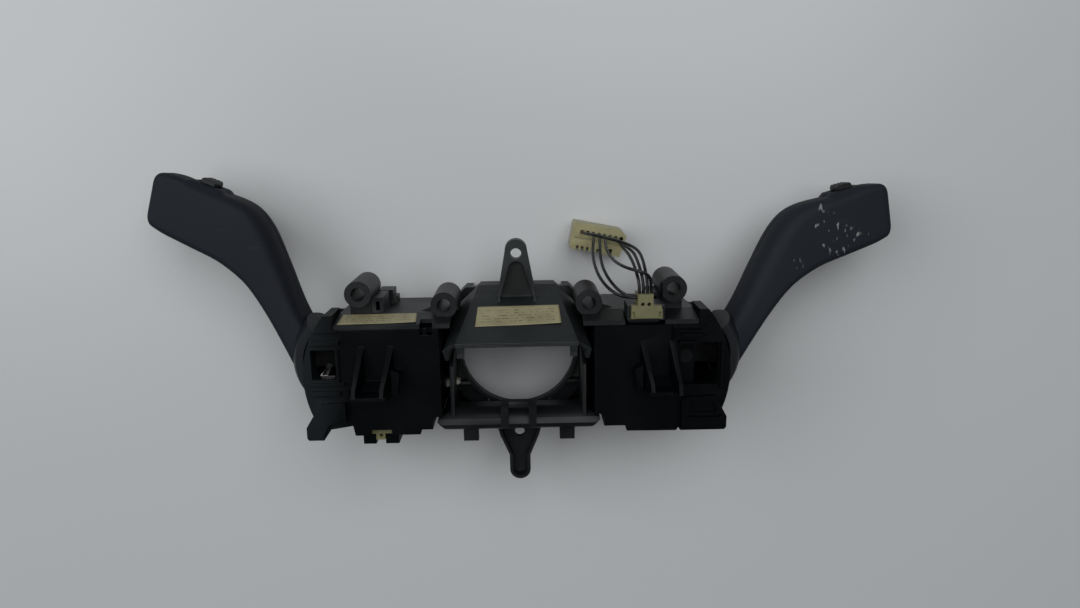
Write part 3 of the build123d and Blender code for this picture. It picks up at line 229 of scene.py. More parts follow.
def dressed(node, width_mm, plain, edge):
    """A welded copy of a node with its edges rounded, in place of the node.

    Faces within the angle FLAT of each other are joined, edges sharper than EDGE are
    rounded, and the rounded strip has the second material."""
    mesh = frame["nodes"][node].data.copy()
    mesh.name = node + "_dressed"
    shape = bmesh.new()
    shape.from_mesh(mesh)
    bmesh.ops.remove_doubles(shape, verts=shape.verts, dist=WELD)
    bmesh.ops.dissolve_limit(shape, angle_limit=FLAT, verts=shape.verts, edges=shape.edges)
    shape.to_mesh(mesh)
    shape.free()
    mesh.materials.clear()
    piece = piece_from(node + "_dressed", mesh, body_holding(node), plain, edge)
    mesh.shade_smooth()
    mesh.set_sharp_from_angle(angle=EDGE)
    rounding = piece.modifiers.new("rounded edges", "BEVEL")
    rounding.width = width_mm * MM
    rounding.segments = 2
    rounding.limit_method = "ANGLE"
    rounding.angle_limit = EDGE
    rounding.use_clamp_overlap = True
    rounding.harden_normals = True
    rounding.material = 1
    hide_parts(node)
    return piece


# %% [markdown]
# ## Shader maths
#
# A wrapped socket lets a material read like a formula. Numbers alone stay in Python;
# only what varies over a surface becomes a node.


# %% A small shader language
class Socket:
    """A value from a node; sums, differences, products and comparisons add Math nodes."""

    def __init__(self, shader, link):
        self.shader = shader
        self.link = link

    def __add__(self, other):
        return self.shader.maths("ADD", self, other)

    def __radd__(self, other):
        return self.shader.maths("ADD", other, self)

    def __sub__(self, other):
        return self.shader.maths("SUBTRACT", self, other)

    def __mul__(self, other):
        return self.shader.maths("MULTIPLY", self, other)

    def __gt__(self, other):
        return self.shader.maths("GREATER_THAN", self, other)

    def __lt__(self, other):
        return self.shader.maths("LESS_THAN", self, other)


class Shader:
    """A material and the nodes added to it."""

    def __init__(self, name):
        self.material = bpy.data.materials.new(name)
        self.material.use_nodes = True
        self.tree = self.material.node_tree
        self.surface = self.tree.nodes["Principled BSDF"]

    def node(self, kind, settings=None, inputs=None, output=0):
        """Add a node: its settings first, then the values or links of its sockets."""
        made = self.tree.nodes.new(kind)
        for key, value in (settings or {}).items():
            setattr(made, key, value)
        for key, value in (inputs or {}).items():
            self.feed(made.inputs[key], value)
        return Socket(self, made.outputs[output])

    def feed(self, socket, value):
        """Link a wrapped socket or set a plain value."""
        if isinstance(value, Socket):
            self.tree.links.new(value.link, socket)
        else:
            socket.default_value = value

    def maths(self, operation, a, b):
        """A Math node on two values."""
        return self.node("ShaderNodeMath", {"operation": operation}, {0: a, 1: b})

    def blend(self, factor, a, b):
        """Colour a where the factor is 0 and colour b where it is 1."""
        made = self.node("ShaderNodeMix", {"data_type": "RGBA"}, {0: factor, 6: a, 7: b})
        return Socket(self, made.link.node.outputs[2])

    def place(self, scale=(1.0, 1.0, 1.0), turn=(0.0, 0.0, 0.0)):
        """Object coordinates, stretched by a scale for each axis."""
        at = self.node("ShaderNodeTexCoord", output=3)
        return self.node("ShaderNodeMapping", None,
                         {0: at, "Scale": scale, "Rotation": turn})

    def part(self, vector, axis):
        """One coordinate of a vector: axis 0, 1 or 2."""
        return self.node("ShaderNodeSeparateXYZ", None, {0: vector}, output=axis)

    def mirrored_place(self, flat=False):
        """Object coordinates with the left folded onto the right, without z if flat."""
        x, y, z = (self.part(self.place(), axis) for axis in range(3))
        return self.node("ShaderNodeCombineXYZ", None,
                         {0: self.maths("ABSOLUTE", x, 0.0), 1: y, 2: 0.0 if flat else z})

    def distance(self, at, place):
        """Distance of each point from one fixed place, in metres."""
        return self.node("ShaderNodeVectorMath", {"operation": "DISTANCE"},
                         {0: at, 1: place}, output=1)

    def noise(self, per_metre, detail=2.0, roughness=0.5, at=None):
        """Soft noise from 0 to 1 with that many cells in a metre."""
        at = at or self.place()
        return self.node("ShaderNodeTexNoise", None,
                         {"Vector": at, "Scale": per_metre, "Detail": detail,
                          "Roughness": roughness})

    def remap(self, value, low, high, to_low=0.0, to_high=1.0):
        """Stretch low..high of a value to a new range and hold it there."""
        inputs = {0: value, 1: low, 2: high, 3: to_low, 4: to_high}
        return self.node("ShaderNodeMapRange", None, inputs)

    def bump(self, height, strength, distance):
        """A bent normal from a height."""
        inputs = {"Height": height, "Strength": strength, "Distance": distance}
        return self.node("ShaderNodeBump", None, inputs)

    def finish(self, **sockets):
        """Feed the surface; a name like base_color stands for the socket Base Color."""
        for key, value in sockets.items():
            self.feed(self.surface.inputs[key.replace("_", " ").title()], value)
        return self.material


# %% [markdown]
# ## Finishes
#
# Black car plastic is never one black. The mould leaves a fine grain, handling polishes
# some of it, grey dust settles on faces that look up, and thin pale
# scratches cross the rest. Each of these is a mask, and the finish is their mix.
# Some of the mix is painted light and shade: walls darker than faces that look up, and
# fades and spots that paint shade where it falls and light on a lit end.


# %% Colours and masks of moulded plastic
DUST = (0.062, 0.067, 0.066, 1.0)
RUB = (0.21, 0.218, 0.215, 1.0)
CLOUDS, SPECKS, SCRATCHES = 38.0, 900.0, 26.0     # cells in a metre
SCRATCH_STRETCH = 22.0
SCRATCH_SHARE = 0.30


def tint(colour, times=1.0, plus=0.0):
    """A colour scaled and raised, with its alpha."""
    return (*[min(1.0, c * times + plus) for c in colour], 1.0)


def upward(s):
    """1 on faces that look up, 0 on walls."""
    return s.part(s.node("ShaderNodeNewGeometry", output=1), 2)


def scratches(s):
    """Thin lines: noise drawn out along two crossing directions, cut near its crest."""
    total = 0.0
    for turn in (0.35, 1.25):
        at = s.place(scale=(1.0, SCRATCH_STRETCH, SCRATCH_STRETCH), turn=(0.0, 0.0, turn))
        lines = s.noise(SCRATCHES, detail=1.0, at=at)
        total = s.remap(lines, 1.0 - SCRATCH_SHARE, 1.0 - SCRATCH_SHARE * 0.6) + total
    return s.maths("MINIMUM", total, 1.0)


def pale_rubs(s, at, reach):
    """Sparse short rub marks that fade out away from a place."""
    away = s.distance(s.place(), at)
    near = s.remap(away, reach, reach * 0.7)
    drawn_out = s.place(scale=(2.4, 1.0, 1.0), turn=(0.0, 0.0, 0.35))
    blots = s.noise(250.0, detail=1.5, at=drawn_out)
    patches = s.remap(s.noise(75.0, detail=1.0), 0.50, 0.56)
    return s.remap(blots, 0.63, 0.70) * patches * near * upward(s)


# %% Moulded plastic
def moulded(name, colour, rough, grain_mm=0.35, grain=0.25, dust=0.35, scuffs=0.35,
            gloss=0.5, fades=(), spots=(), rubs=None):
    """Injection-moulded plastic: grain, cloudy polish, dust, scratches and painted shade on
    walls.

    A fade mixes in a colour from one place to another along an axis. A spot does so
    inside a ball on both sides, or at any height where its centre has no z. Rubs lays
    pale marks round a place."""
    s = Shader(name)
    cloud = s.noise(CLOUDS, detail=4.0)
    speck = s.noise(SPECKS, detail=3.0, roughness=0.7)
    looking_up = s.remap(upward(s), 0.2, 1.0, 0.22, 1.0)
    settled = s.remap(cloud * 0.6 + speck * 0.4, 0.46, 0.72) * looking_up
    marks = scratches(s)
    # painted shade and light: walls darker, faces that look up lighter, mixed with random
    # cloud
    tone = s.blend(cloud * 0.5 + looking_up * 0.5, tint(colour, 0.6), tint(colour))
    tone = s.blend(settled * dust, tone, DUST)
    tone = s.blend(marks * scuffs, tone, tint(colour, 2.2, 0.012))
    for axis, near, far, share, shade in fades:
        along = s.part(s.place(), axis)
        tone = s.blend(s.remap(along, near, far, 0.0, share), tone, tint(shade))
    for (x, y, z), radius, soft, shade in spots:
        away = s.distance(s.mirrored_place(flat=z is None), (x, y, z or 0.0))
        tone = s.blend(s.remap(away, radius, radius - soft), tone, tint(shade))
    if rubs:
        tone = s.blend(pale_rubs(s, *rubs), tone, RUB)
    fine = s.noise(1000.0 / grain_mm, detail=2.0, roughness=0.6)
    shine = rough + (cloud - 0.5) * 0.22 + settled * 0.2 * dust - marks * 0.1
    s.surface.inputs["Specular IOR Level"].default_value = gloss
    return s.finish(base_color=tone, roughness=shine, normal=s.bump(fine, grain, 0.00006))


# %% Black and grey mouldings, places in metres
# the colour that painted shade goes to in holes, recesses and low parts
NEAR_BLACK = (0.0009, 0.0012, 0.0016)
# spots: centre, radius, soft edge and colour
# painted shade: the lever core inside the module goes near black
LEVER_SHADE_IN_MODULE = ((0.070, 0.002, 0.034), 0.0236, 0.002, NEAR_BLACK)
# painted shade: near-black discs over the screw bores
SHADED_SCREW_BORES = [((x, y, None), 0.0032, 0.0004, NEAR_BLACK)
               for x, y in ((0.0647, 0.0303), (0.0298, 0.0251))]
# painted shadow on the lower beam
BEAM_SHADOW = ((0.006, -0.0255, 0.0405), 0.0200, 0.006, (0.0022, 0.0030, 0.0040))
# painted shade on the hood's tongue
TONGUE_SHADE = ((0.0, 0.0315, 0.0300), 0.0090, 0.003, NEAR_BLACK)
# rubs: centre and reach
RUBBED_GRIP = ((0.131, 0.053, 0.045), 0.024)
# fades: axis, from, to, share and colour
# painted shade: the carrier goes darker towards the table, where shade falls
SHADE_TOWARDS_TABLE = (2, 0.054, 0.018, 0.75, NEAR_BLACK)
# painted light: the left end of the modules, turned to the window light, is lighter
LIT_LEFT_END = (0, -0.070, -0.082, 0.85, (0.0115, 0.0150, 0.0165))
SOFT_GRAIN = {"grain_mm": 0.45, "grain": 0.30, "dust": 0.04, "scuffs": 0.10, "gloss": 0.14}

carrier_black = moulded("carrier black", (0.0062, 0.0080, 0.0094), 0.46, dust=0.20,
                        gloss=0.30, fades=[SHADE_TOWARDS_TABLE], spots=SHADED_SCREW_BORES + [BEAM_SHADOW])
# painted highlight and wear on the carrier's rounded edges
carrier_edge_highlight_and_wear = moulded("carrier edge highlight and wear", (0.020, 0.024, 0.027), 0.38, dust=0.10,
                       fades=[SHADE_TOWARDS_TABLE])
hood_black = moulded("hood dusty black", (0.0110, 0.0140, 0.0150), 0.50, dust=0.26,
                     gloss=0.36, spots=[TONGUE_SHADE])
module_black = moulded("module black", (0.0008, 0.0015, 0.0023), 0.46, dust=0.03,
                       scuffs=0.14, gloss=0.09, fades=[LIT_LEFT_END])
# painted highlight and wear on the modules' rounded edges
module_edge_highlight_and_wear = moulded("module edge highlight and wear", (0.0120, 0.0150, 0.0175), 0.34, dust=0.05)
stalk_grey = moulded("stalk soft grain", (0.0120, 0.0146, 0.0210), 0.64, **SOFT_GRAIN)
grip_rubbed = moulded("rubbed stalk grain", (0.0140, 0.0172, 0.0235), 0.64,
                      rubs=RUBBED_GRIP, **SOFT_GRAIN)
root_grey = moulded("stalk root grain", (0.0100, 0.0125, 0.0160), 0.52, dust=0.05,
                    gloss=0.25, spots=[LEVER_SHADE_IN_MODULE])
knob_grey = moulded("knob grain", (0.0050, 0.0068, 0.0078), 0.46, dust=0.05, gloss=0.25)
nylon_black = moulded("glass filled nylon", (0.0020, 0.0025, 0.0030), 0.46, dust=0.04,
                      gloss=0.2)
acetal_white = moulded("natural acetal", (0.42, 0.41, 0.36), 0.40, dust=0.1)


# %% Cream connectors, wire insulation and metal
# painted shade: the connector goes near black round each contact hole
HOLE_SHADE_EDGE, HOLE_SHADE_FULL = 0.00108, 0.00078     # from the middle of a contact hole, in metres


def cream(name, colour, holes=()):
    """Unfilled connector plastic: light passes a little way in, with random grime.

    Holes are places seen from above with painted shade round each contact."""
    s = Shader(name)
    cloud = s.noise(210.0, detail=3.0)
    grime = s.remap(s.noise(520.0, detail=4.0, roughness=0.7), 0.52, 0.72)
    tone = s.blend(cloud, tint(colour, 0.62), tint(colour))
    tone = s.blend(grime * 0.35, tone, (0.14, 0.125, 0.085, 1.0))
    for x, y in holes:
        away = s.distance(s.mirrored_place(flat=True), (x, y, 0.0))
        tone = s.blend(s.remap(away, HOLE_SHADE_EDGE, HOLE_SHADE_FULL), tone, tint(NEAR_BLACK))
    s.surface.inputs["Subsurface Weight"].default_value = 0.12
    s.surface.inputs["Subsurface Radius"].default_value = (0.0012, 0.0009, 0.0004)
    return s.finish(base_color=tone, roughness=0.42 + (cloud - 0.5) * 0.15,
                    normal=s.bump(cloud, 0.12, 0.0001))


def insulation(name, colour):
    """Extruded wire jacket: smooth, with a faint dusty bloom."""
    s = Shader(name)
    bloom = s.remap(s.noise(420.0, detail=3.0), 0.45, 0.75)
    s.surface.inputs["Specular IOR Level"].default_value = 0.32
    tone = s.blend(bloom, tint(colour), tint(colour, plus=0.006))
    return s.finish(base_color=tone, roughness=0.27 + bloom * 0.15)


def sprung_metal(name, colour, rough):
    """Rolled spring metal: drawn-out fine lines in its roughness."""
    s = Shader(name)
    lines = s.noise(60.0, detail=2.0, at=s.place(scale=(1.0, 30.0, 30.0)))
    s.surface.inputs["Metallic"].default_value = 1.0
    tone = s.blend(lines, tint(colour, 0.8), tint(colour))
    return s.finish(base_color=tone, roughness=rough + lines * 0.15)


contact_holes = [[x * MM for x in connector_hole(k + 1)] for k in range(HOLE_COUNT)]
connector_cream = cream("connector cream", (0.34, 0.315, 0.160), holes=contact_holes)
plug_cream = cream("plug cream", (0.190, 0.180, 0.088))
wire_black = insulation("wire jacket", (0.0035, 0.0040, 0.0048))
wire_grey = insulation("wire jacket greyed", (0.0065, 0.0068, 0.0075))
spring_bright = sprung_metal("spring steel", (0.55, 0.55, 0.56), 0.22)
contact_bright = sprung_metal("tinned contact", (0.72, 0.72, 0.70), 0.18)


# %% Circuit board
def laminate():
    """Green laminate with paler tracks on a square raster."""
    s = Shader("board laminate")
    tracks = s.node("ShaderNodeTexVoronoi", {"distance": "MANHATTAN"},
                    {"Vector": s.place(), "Scale": 420.0})
    line = s.remap(tracks, 0.30, 0.36)
    tone = s.blend(line, (0.018, 0.075, 0.030, 1.0), (0.035, 0.13, 0.055, 1.0))
    return s.finish(base_color=tone, roughness=0.35 + line * 0.1)


board_green = laminate()

# %% Wires get their jackets
GREYED_WIRES = (1, 4)
for number, (wire, start) in enumerate(wires, start=1):
    wire.data.materials.append(wire_grey if number in GREYED_WIRES else wire_black)

# %% [markdown]
# ## Stalks
#
# Each stalk is a hollow grip in two halves: a straight neck from the module, a crank,
# and a broad flat grip whose inner edge falls away in a soft shoulder. The two halves are
# one skin here, a rounded section carried along a bent centre line, with a fine joint
# line where the halves meet. The root is cut by the ball that closes the module's mouth.

# %% Centre line and section sizes of a stalk, in millimetres from its pivot
PIVOT = (70.0, 2.0, 34.0)
REST_TILT = {"left": 3.4, "right": -3.4}
LEAN, LEAN_HEADING = 5.4, 36.0
SHROUD_R = 25.4
ROOT_GAP = 0.12
TIP_ROUND = 3.4
LINE_HALF, LINE_DEPTH = 0.12, 0.10     # joint line of the two halves
# centre x, centre y, heading, width, thickness, reach of the soft inner shoulder
STALK = np.array([
    (14.6, -8.3, 62.0, 12.8, 22.0, 4.0),
    (24.6, 10.2, 62.0, 12.9, 21.6, 4.6),
    (29.2, 18.7, 60.0, 13.6, 21.2, 5.6),
    (33.6, 27.4, 56.0, 15.9, 20.8, 7.0),
    (38.3, 35.8, 47.0, 19.2, 20.7, 8.0),
    (42.9, 42.6, 38.5, 23.5, 20.6, 8.2),
    (49.5, 49.1, 31.0, 26.9, 20.4, 7.0),
    (59.4, 53.5, 25.0, 26.6, 19.5, 5.0),
    (69.7, 57.2, 22.0, 25.3, 18.4, 3.8),
    (78.0, 60.7, 17.0, 24.9, 17.4, 3.2),
    (85.1, 63.0, 12.0, 21.8, 16.4, 2.8),
])


def natural_spline(knots, values, at):
    """Cubic through every knot with no bend at its ends, for all columns at once."""
    h = np.diff(knots)
    slope = np.diff(values, axis=0) / h[:, None]
    n = len(knots)
    system = np.eye(n)
    right = np.zeros_like(values)
    inner = np.arange(1, n - 1)
    system[inner, inner - 1] = h[:-1]
    system[inner, inner] = 2 * (h[:-1] + h[1:])
    system[inner, inner + 1] = h[1:]
    right[1:-1] = 6 * np.diff(slope, axis=0)
    bend = np.linalg.solve(system, right)
    k = np.clip(np.searchsorted(knots, at, side="right") - 1, 0, n - 2)
    t, step = (at - knots[k])[:, None], h[k][:, None]
    first = slope[k] - step * (2 * bend[k] + bend[k + 1]) / 6
    third = (bend[k + 1] - bend[k]) / (6 * step)
    return values[k] + t * first + t**2 * bend[k] / 2 + t**3 * third


def rounded_section(width, thick, soft, arc=10):
    """Four corners, each a quadratic arc with its own reach along either side.

    The inner upper corner is a wide soft shoulder and the driver side is well rounded; a
    fine joint line runs along both side walls. Returns (rows, columns, 2): across the
    stalk (inner contour positive) and up."""
    w, t = width / 2, thick / 2
    low = 0.36 * thick      # reach of the driver side's corners
    outer = 3.6             # reach of the outer upper corner along the face
    corner = np.stack([np.stack([-w, t], -1), np.stack([w, t], -1),
                       np.stack([w, -t], -1), np.stack([-w, -t], -1)], axis=1)
    before = np.roll(corner, 1, axis=1) - corner
    after = np.roll(corner, -1, axis=1) - corner
    before /= np.linalg.norm(before, axis=2, keepdims=True)
    after /= np.linalg.norm(after, axis=2, keepdims=True)
    reach_before = np.stack([0.8 * low, soft, low, low], axis=1)[..., None]
    reach_after = np.stack([outer + 0 * w, 1.15 * soft, low, 0.8 * low], axis=1)[..., None]
    start = corner + before * np.minimum(reach_before, 0.48 * width[:, None, None])
    end = corner + after * reach_after
    u = np.linspace(0, 1, arc)[None, None, :, None]
    arcs = ((1 - u) ** 2 * start[:, :, None] + 2 * u * (1 - u) * corner[:, :, None]
            + u**2 * end[:, :, None])

    def joint(x, upper, lower):
        """A fine groove half-way up a side wall."""
        middle = (upper + lower) / 2
        rise = np.array([LINE_HALF, 0.0, -LINE_HALF]) * np.sign(x[0])
        depth = np.array([0.0, LINE_DEPTH, 0.0]) * np.sign(x[0])
        return np.stack([x[:, None] - depth, middle[:, None] + rise], -1)

    inner_joint = joint(w, end[:, 1, 1], start[:, 2, 1])
    outer_joint = joint(-w, start[:, 0, 1], end[:, 3, 1])
    parts = [arcs[:, 0], arcs[:, 1], inner_joint, arcs[:, 2], arcs[:, 3], outer_joint]
    return np.concatenate(parts, axis=1)


# %% Slider near the tip, and the low pad that it stands on
KNOB_AT = (63.4, 69.0)
KNOB_HEADING = 18.0
KNOB_SHIFT = {"left": -1.6, "right": 2.6}
PAD_RISE, PAD_MOST = 0.8, 4.0
# where each side of the pad starts and where it is at full height
PAD_ENDS, PAD_WALLS, PAD_DEPTH = (8.6, 6.0), (7.4, 5.0), (-4.5, -1.5)
SLOT_HALF, SLOT_WIDE, SLOT_DEPTH = 5.1, 2.3, (-3.0, 4.0)


def turned(points, angle, axis):
    """Points turned by an angle in degrees about x, y or z."""
    a = radians(angle)
    i, j = {"x": (1, 2), "y": (2, 0), "z": (0, 1)}[axis]
    out = points.copy()
    out[..., i] = cos(a) * points[..., i] - sin(a) * points[..., j]
    out[..., j] = sin(a) * points[..., i] + cos(a) * points[..., j]
    return out


def leaned(points):
    """Lean the stalk towards the driver about its own width."""
    across = turned(points, -LEAN_HEADING, "z")
    return turned(turned(across, LEAN, "y"), LEAN_HEADING, "z")


def to_side(points, side):
    """From the pivot's own axes to the rest place on the left or the right, in metres."""
    placed = turned(points, REST_TILT[side], "z") + np.array(PIVOT)
    if side == "left":
        placed = placed * np.array([-1.0, 1.0, 1.0])
    return placed * MM


def eased(t):
    """From 0 to 1 with a level start and end: three t squared less two t cubed."""
    return t * t * (3 - 2 * t)


def ramp(value, zero, one):
    """Straight from 0 at one value to 1 at another, and level beyond them."""
    return np.clip((value - zero) / (one - zero), 0, 1)


# %% Stalk skin
def stalk_skin(side, rows=110, tip_rows=9):
    """Rows along the stalk, columns round it; the tip closes through a rounded edge."""
    steps = np.linalg.norm(np.diff(STALK[:, :2], axis=0), axis=1)
    knots = np.concatenate([[0.0], np.cumsum(steps)])
    body = np.linspace(0.0, knots[-1] - TIP_ROUND, rows)
    angle = np.linspace(0, np.pi / 2, tip_rows + 1)[1:]
    at = np.concatenate([body, knots[-1] - TIP_ROUND + TIP_ROUND * np.sin(angle)])
    shrink = np.concatenate([np.zeros(len(body)), TIP_ROUND * (1 - np.cos(angle))])
    x, y, heading, width, thick, soft = natural_spline(knots, STALK, at).T
    section = rounded_section(width - 2 * shrink, thick - 2 * shrink, soft)
    across, up = section[..., 0], section[..., 1]
    turn = np.radians(heading)[:, None]
    points = np.stack([x[:, None] - across * np.sin(turn),
                       y[:, None] + across * np.cos(turn), up], -1)
    return with_pad(points, side)


def with_pad(points, side):
    """Raise a low pad round the slider out of the inner contour."""
    from_knob = points[..., :2] - np.array(KNOB_AT)
    k = radians(KNOB_HEADING)
    along = from_knob[..., 0] * cos(k) + from_knob[..., 1] * sin(k) - KNOB_SHIFT[side]
    off = -from_knob[..., 0] * sin(k) + from_knob[..., 1] * cos(k)
    up = points[..., 2]
    hill = ramp(np.abs(along), *PAD_ENDS)
    near = ramp(off, *PAD_DEPTH) * ramp(np.abs(up), *PAD_WALLS)
    rise = eased(hill) * eased(near) * np.clip(PAD_RISE - off, 0, PAD_MOST)
    points[..., 0] -= rise * sin(k)
    points[..., 1] += rise * cos(k)
    return points


def start_on_ball(points, radius):
    """Slide each lengthwise line's first points onto a ball about the pivot.

    A line that passes beside the ball keeps its own first point."""
    reach = np.linalg.norm(points, axis=-1)
    inside = reach < radius
    rows, columns = reach.shape
    last = np.where(inside.any(axis=0), rows - 1 - np.argmax(inside[::-1], axis=0), 0)
    each = np.arange(columns)
    near, far = reach[last, each], reach[last + 1, each]
    t = np.clip((radius - near) / (far - near), 0, 1)[:, None]
    edge = points[last, each] * (1 - t) + points[last + 1, each] * t
    covered = np.arange(rows)[:, None] <= last[None, :]
    return np.where(covered[..., None], edge[None], points)


# %% Stalks in place, with a slot for the slider
def cut_slot(piece, side):
    """Take a box-shaped slot out of a stalk; the box is drawn about the slider."""
    corners = np.array([(x, y, z) for x in (-SLOT_HALF, SLOT_HALF) for y in SLOT_DEPTH
                        for z in (-SLOT_WIDE, SLOT_WIDE)])
    corners[:, 0] += KNOB_SHIFT[side]
    placed = turned(corners, KNOB_HEADING, "z") + np.array([*KNOB_AT, 0.0])
    mesh = bpy.data.meshes.new("slot")
    faces = [(0, 1, 3, 2), (4, 6, 7, 5), (0, 4, 5, 1), (2, 3, 7, 6), (0, 2, 6, 4),
             (1, 5, 7, 3)]
    mesh.from_pydata(to_side(leaned(placed), side), [], faces)
    outward(mesh)
    cutter = bpy.data.objects.new("slot", mesh)
    bpy.context.collection.objects.link(cutter)
    hole = piece.modifiers.new("slot", "BOOLEAN")
    hole.object = cutter
    hole.solver = "EXACT"
    ready = piece.evaluated_get(bpy.context.evaluated_depsgraph_get())
    result = bpy.data.meshes.new_from_object(ready)
    piece.modifiers.clear()
    piece.data = result
    bpy.data.objects.remove(cutter)
    bpy.data.meshes.remove(mesh)


def stalk(side):
    """Skin, root cap and slot of one stalk."""
    root_r = SHROUD_R + ROOT_GAP
    points = start_on_ball(leaned(stalk_skin(side)), root_r)
    tip = points[-1:].mean(axis=1, keepdims=True) * np.ones_like(points[-1:])
    root = points[:1].mean(axis=1, keepdims=True)
    root *= root_r / np.linalg.norm(root, axis=-1, keepdims=True)
    root = root * np.ones_like(points[:1])
    whole = to_side(np.concatenate([root, points, tip]), side)
    mesh = grid_mesh(f"{side}_stalk_skin", whole, closed=True)
    outward(mesh, weld=WELD)
    finish = {"left": stalk_grey, "right": grip_rubbed}[side]
    piece = piece_from(f"{side}_stalk_skin", mesh, f"{side}_lever", finish)
    cut_slot(piece, side)
    piece.data.shade_smooth()
    piece.data.set_sharp_from_angle(angle=radians(38))
    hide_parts(f"{side}_stalk_rear_shell", f"{side}_stalk_front_shell")
    print(piece.name, "faces:", len(piece.data.polygons))


for side in SIDES:
    stalk(side)

# %% [markdown]
# ## Mouldings
#
# The other mouldings keep their solids' exact shape. What the solids lack is the small
# radius that every moulded edge has, and that radius is what catches the light.

# %% Dress the mouldings
# on the black mouldings the rounded strip's lighter second material is a painted highlight
# along the edges, and wear
EDGE_FINISH = {
    "carrier_frame": (0.40, carrier_black, carrier_edge_highlight_and_wear),
    "hood_cover": (0.45, hood_black, carrier_edge_highlight_and_wear),
    "harness_connector": (0.30, connector_cream, connector_cream),
    "right_plug": (0.18, plug_cream, plug_cream),
    "left_connector": (0.18, plug_cream, plug_cream),
    "right_connector": (0.25, carrier_black, carrier_edge_highlight_and_wear),
}
for side in SIDES:
    EDGE_FINISH[f"{side}_housing"] = (0.30, module_black, module_edge_highlight_and_wear)
    EDGE_FINISH[f"{side}_cover"] = (0.30, module_black, module_edge_highlight_and_wear)
    EDGE_FINISH[f"{side}_lever_core"] = (0.45, root_grey, root_grey)
    EDGE_FINISH[f"{side}_slider_knob"] = (0.30, knob_grey, knob_grey)
    EDGE_FINISH[f"{side}_detent_cam"] = (0.15, acetal_white, acetal_white)
    EDGE_FINISH[f"{side}_carriage"] = (0.20, nylon_black, nylon_black)
for node, (width, plain, edge) in EDGE_FINISH.items():
    piece = dressed(node, width, plain, edge)

# %% Finishes of the nodes that stay as they are
KEPT = {"module_screws": spring_bright, "left_contact_clip": contact_bright,
        "left_cancel_pawl": acetal_white}
for side in SIDES:
    KEPT[f"{side}_board"] = board_green
    KEPT[f"{side}_slider_board"] = board_green
    KEPT[f"{side}_pivot_pin"] = spring_bright
    KEPT[f"{side}_wiper"] = contact_bright
    KEPT[f"{side}_detent_plunger"] = acetal_white
for node, material in KEPT.items():
    solid = frame["nodes"][node]
    for place in solid.material_slots:
        place.material = material

# %% [markdown]
# ## Springs
#
# A coil or leaf spring has one end held and one end on a moving piece. Each is a copy of
# its solid in spring steel, set in place, and the solid is hidden.

# %% Springs copied from their solids
# node, body that holds it, body that it pushes, and 1 if its held end is the low end in x
SPRINGS = [("left_detent_spring", "left_lever", "left_plunger", 1),
           ("right_detent_spring", "right_lever", "right_plunger", -1),
           ("left_pawl_spring", "root", "left_pawl", -1)]
for node, held, pushed, way in SPRINGS:
    spring = bpy.data.objects.new(node + "_flexing", frame["nodes"][node].data.copy())
    bpy.context.collection.objects.link(spring)
    spring.data.materials.clear()
    spring.data.materials.append(spring_bright)
    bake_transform(spring)
    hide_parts(node)

# %% [markdown]
# ## Labels
#
# Two paper stickers, yellowed and a little lifted at a corner. Their print is left out;
# a few ruled dashes stand where it was, so that the paper still reads as used.


# %% Label paper
PAPER, STAIN, INK = (0.285, 0.258, 0.148), (0.205, 0.182, 0.098), (0.045, 0.044, 0.036)
DASH_SHARE, DASH_HEIGHT = 0.55, (0.34, 0.66)
MARGIN_U, MARGIN_V = (0.05, 0.93), (0.10, 0.92)
LABEL_LIFT, PAPER_T = 0.22, 0.16
CURL_FROM, CURL_FULL = 1.35, 0.42


def between(value, span):
    """1 inside a span, 0 outside it."""
    return (value > span[0]) * (value < span[1])


def label_paper(name, rows, columns, seed):
    """Yellowed paper with ruled dashes: each row keeps or drops its dashes at random."""
    s = Shader(name)
    at = s.node("ShaderNodeUVMap", {"uv_map": "sheet"})
    u, v = s.part(at, 0), s.part(at, 1)
    row = s.maths("FLOOR", v * rows, 0.0)
    column = s.maths("FLOOR", u * columns, 0.0)
    cell = s.node("ShaderNodeCombineXYZ", None, {0: column, 1: row, 2: seed})
    chance = s.node("ShaderNodeTexWhiteNoise", {"noise_dimensions": "3D"}, {0: cell})
    in_row = s.maths("FRACT", v * rows, 0.0)
    ink = (chance > 1.0 - DASH_SHARE) * between(in_row, DASH_HEIGHT)
    inside = between(u, MARGIN_U) * between(v, MARGIN_V)
    faded = s.remap(s.noise(260.0, detail=3.0), 0.35, 0.65, 0.25, 0.85)
    stain = s.remap(s.noise(90.0, detail=4.0), 0.45, 0.70)
    paper = s.blend(stain, tint(PAPER), tint(STAIN))
    tone = s.blend(ink * inside * faded, paper, tint(INK))
    return s.finish(base_color=tone, roughness=0.55)


def label(name, node, corners, curl_mm, material):
    """A thin sheet between four corners with a curl towards one of them."""
    a, b, c, d = np.array(corners, dtype=float)
    u, v = np.meshgrid(np.linspace(0, 1, 40), np.linspace(0, 1, 20))
    u, v = u[..., None], v[..., None]
    flat = a * (1 - u) * (1 - v) + b * u * (1 - v) + c * u * v + d * (1 - u) * v
    normal = np.cross(b - a, d - a)
    normal = normal / np.linalg.norm(normal)
    curl = curl_mm * np.clip(u + (1 - v) - CURL_FROM, 0, 1) ** 2 / CURL_FULL
    top = flat + normal * (LABEL_LIFT + curl)
    mesh = grid_mesh(name, top * MM)
    layer = mesh.uv_layers.new(name="sheet")
    vertex = np.empty(len(mesh.loops), dtype=np.int32)
    mesh.loops.foreach_get("vertex_index", vertex)
    uv = np.concatenate([u, v], -1).reshape(-1, 2)[vertex]
    layer.data.foreach_set("uv", uv.ravel())
    mesh.shade_smooth()
    piece = piece_from(name, mesh, "root", material)
    wall = piece.modifiers.new("paper", "SOLIDIFY")
    wall.thickness = PAPER_T * MM
    wall.offset = -1.0
    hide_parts(node)


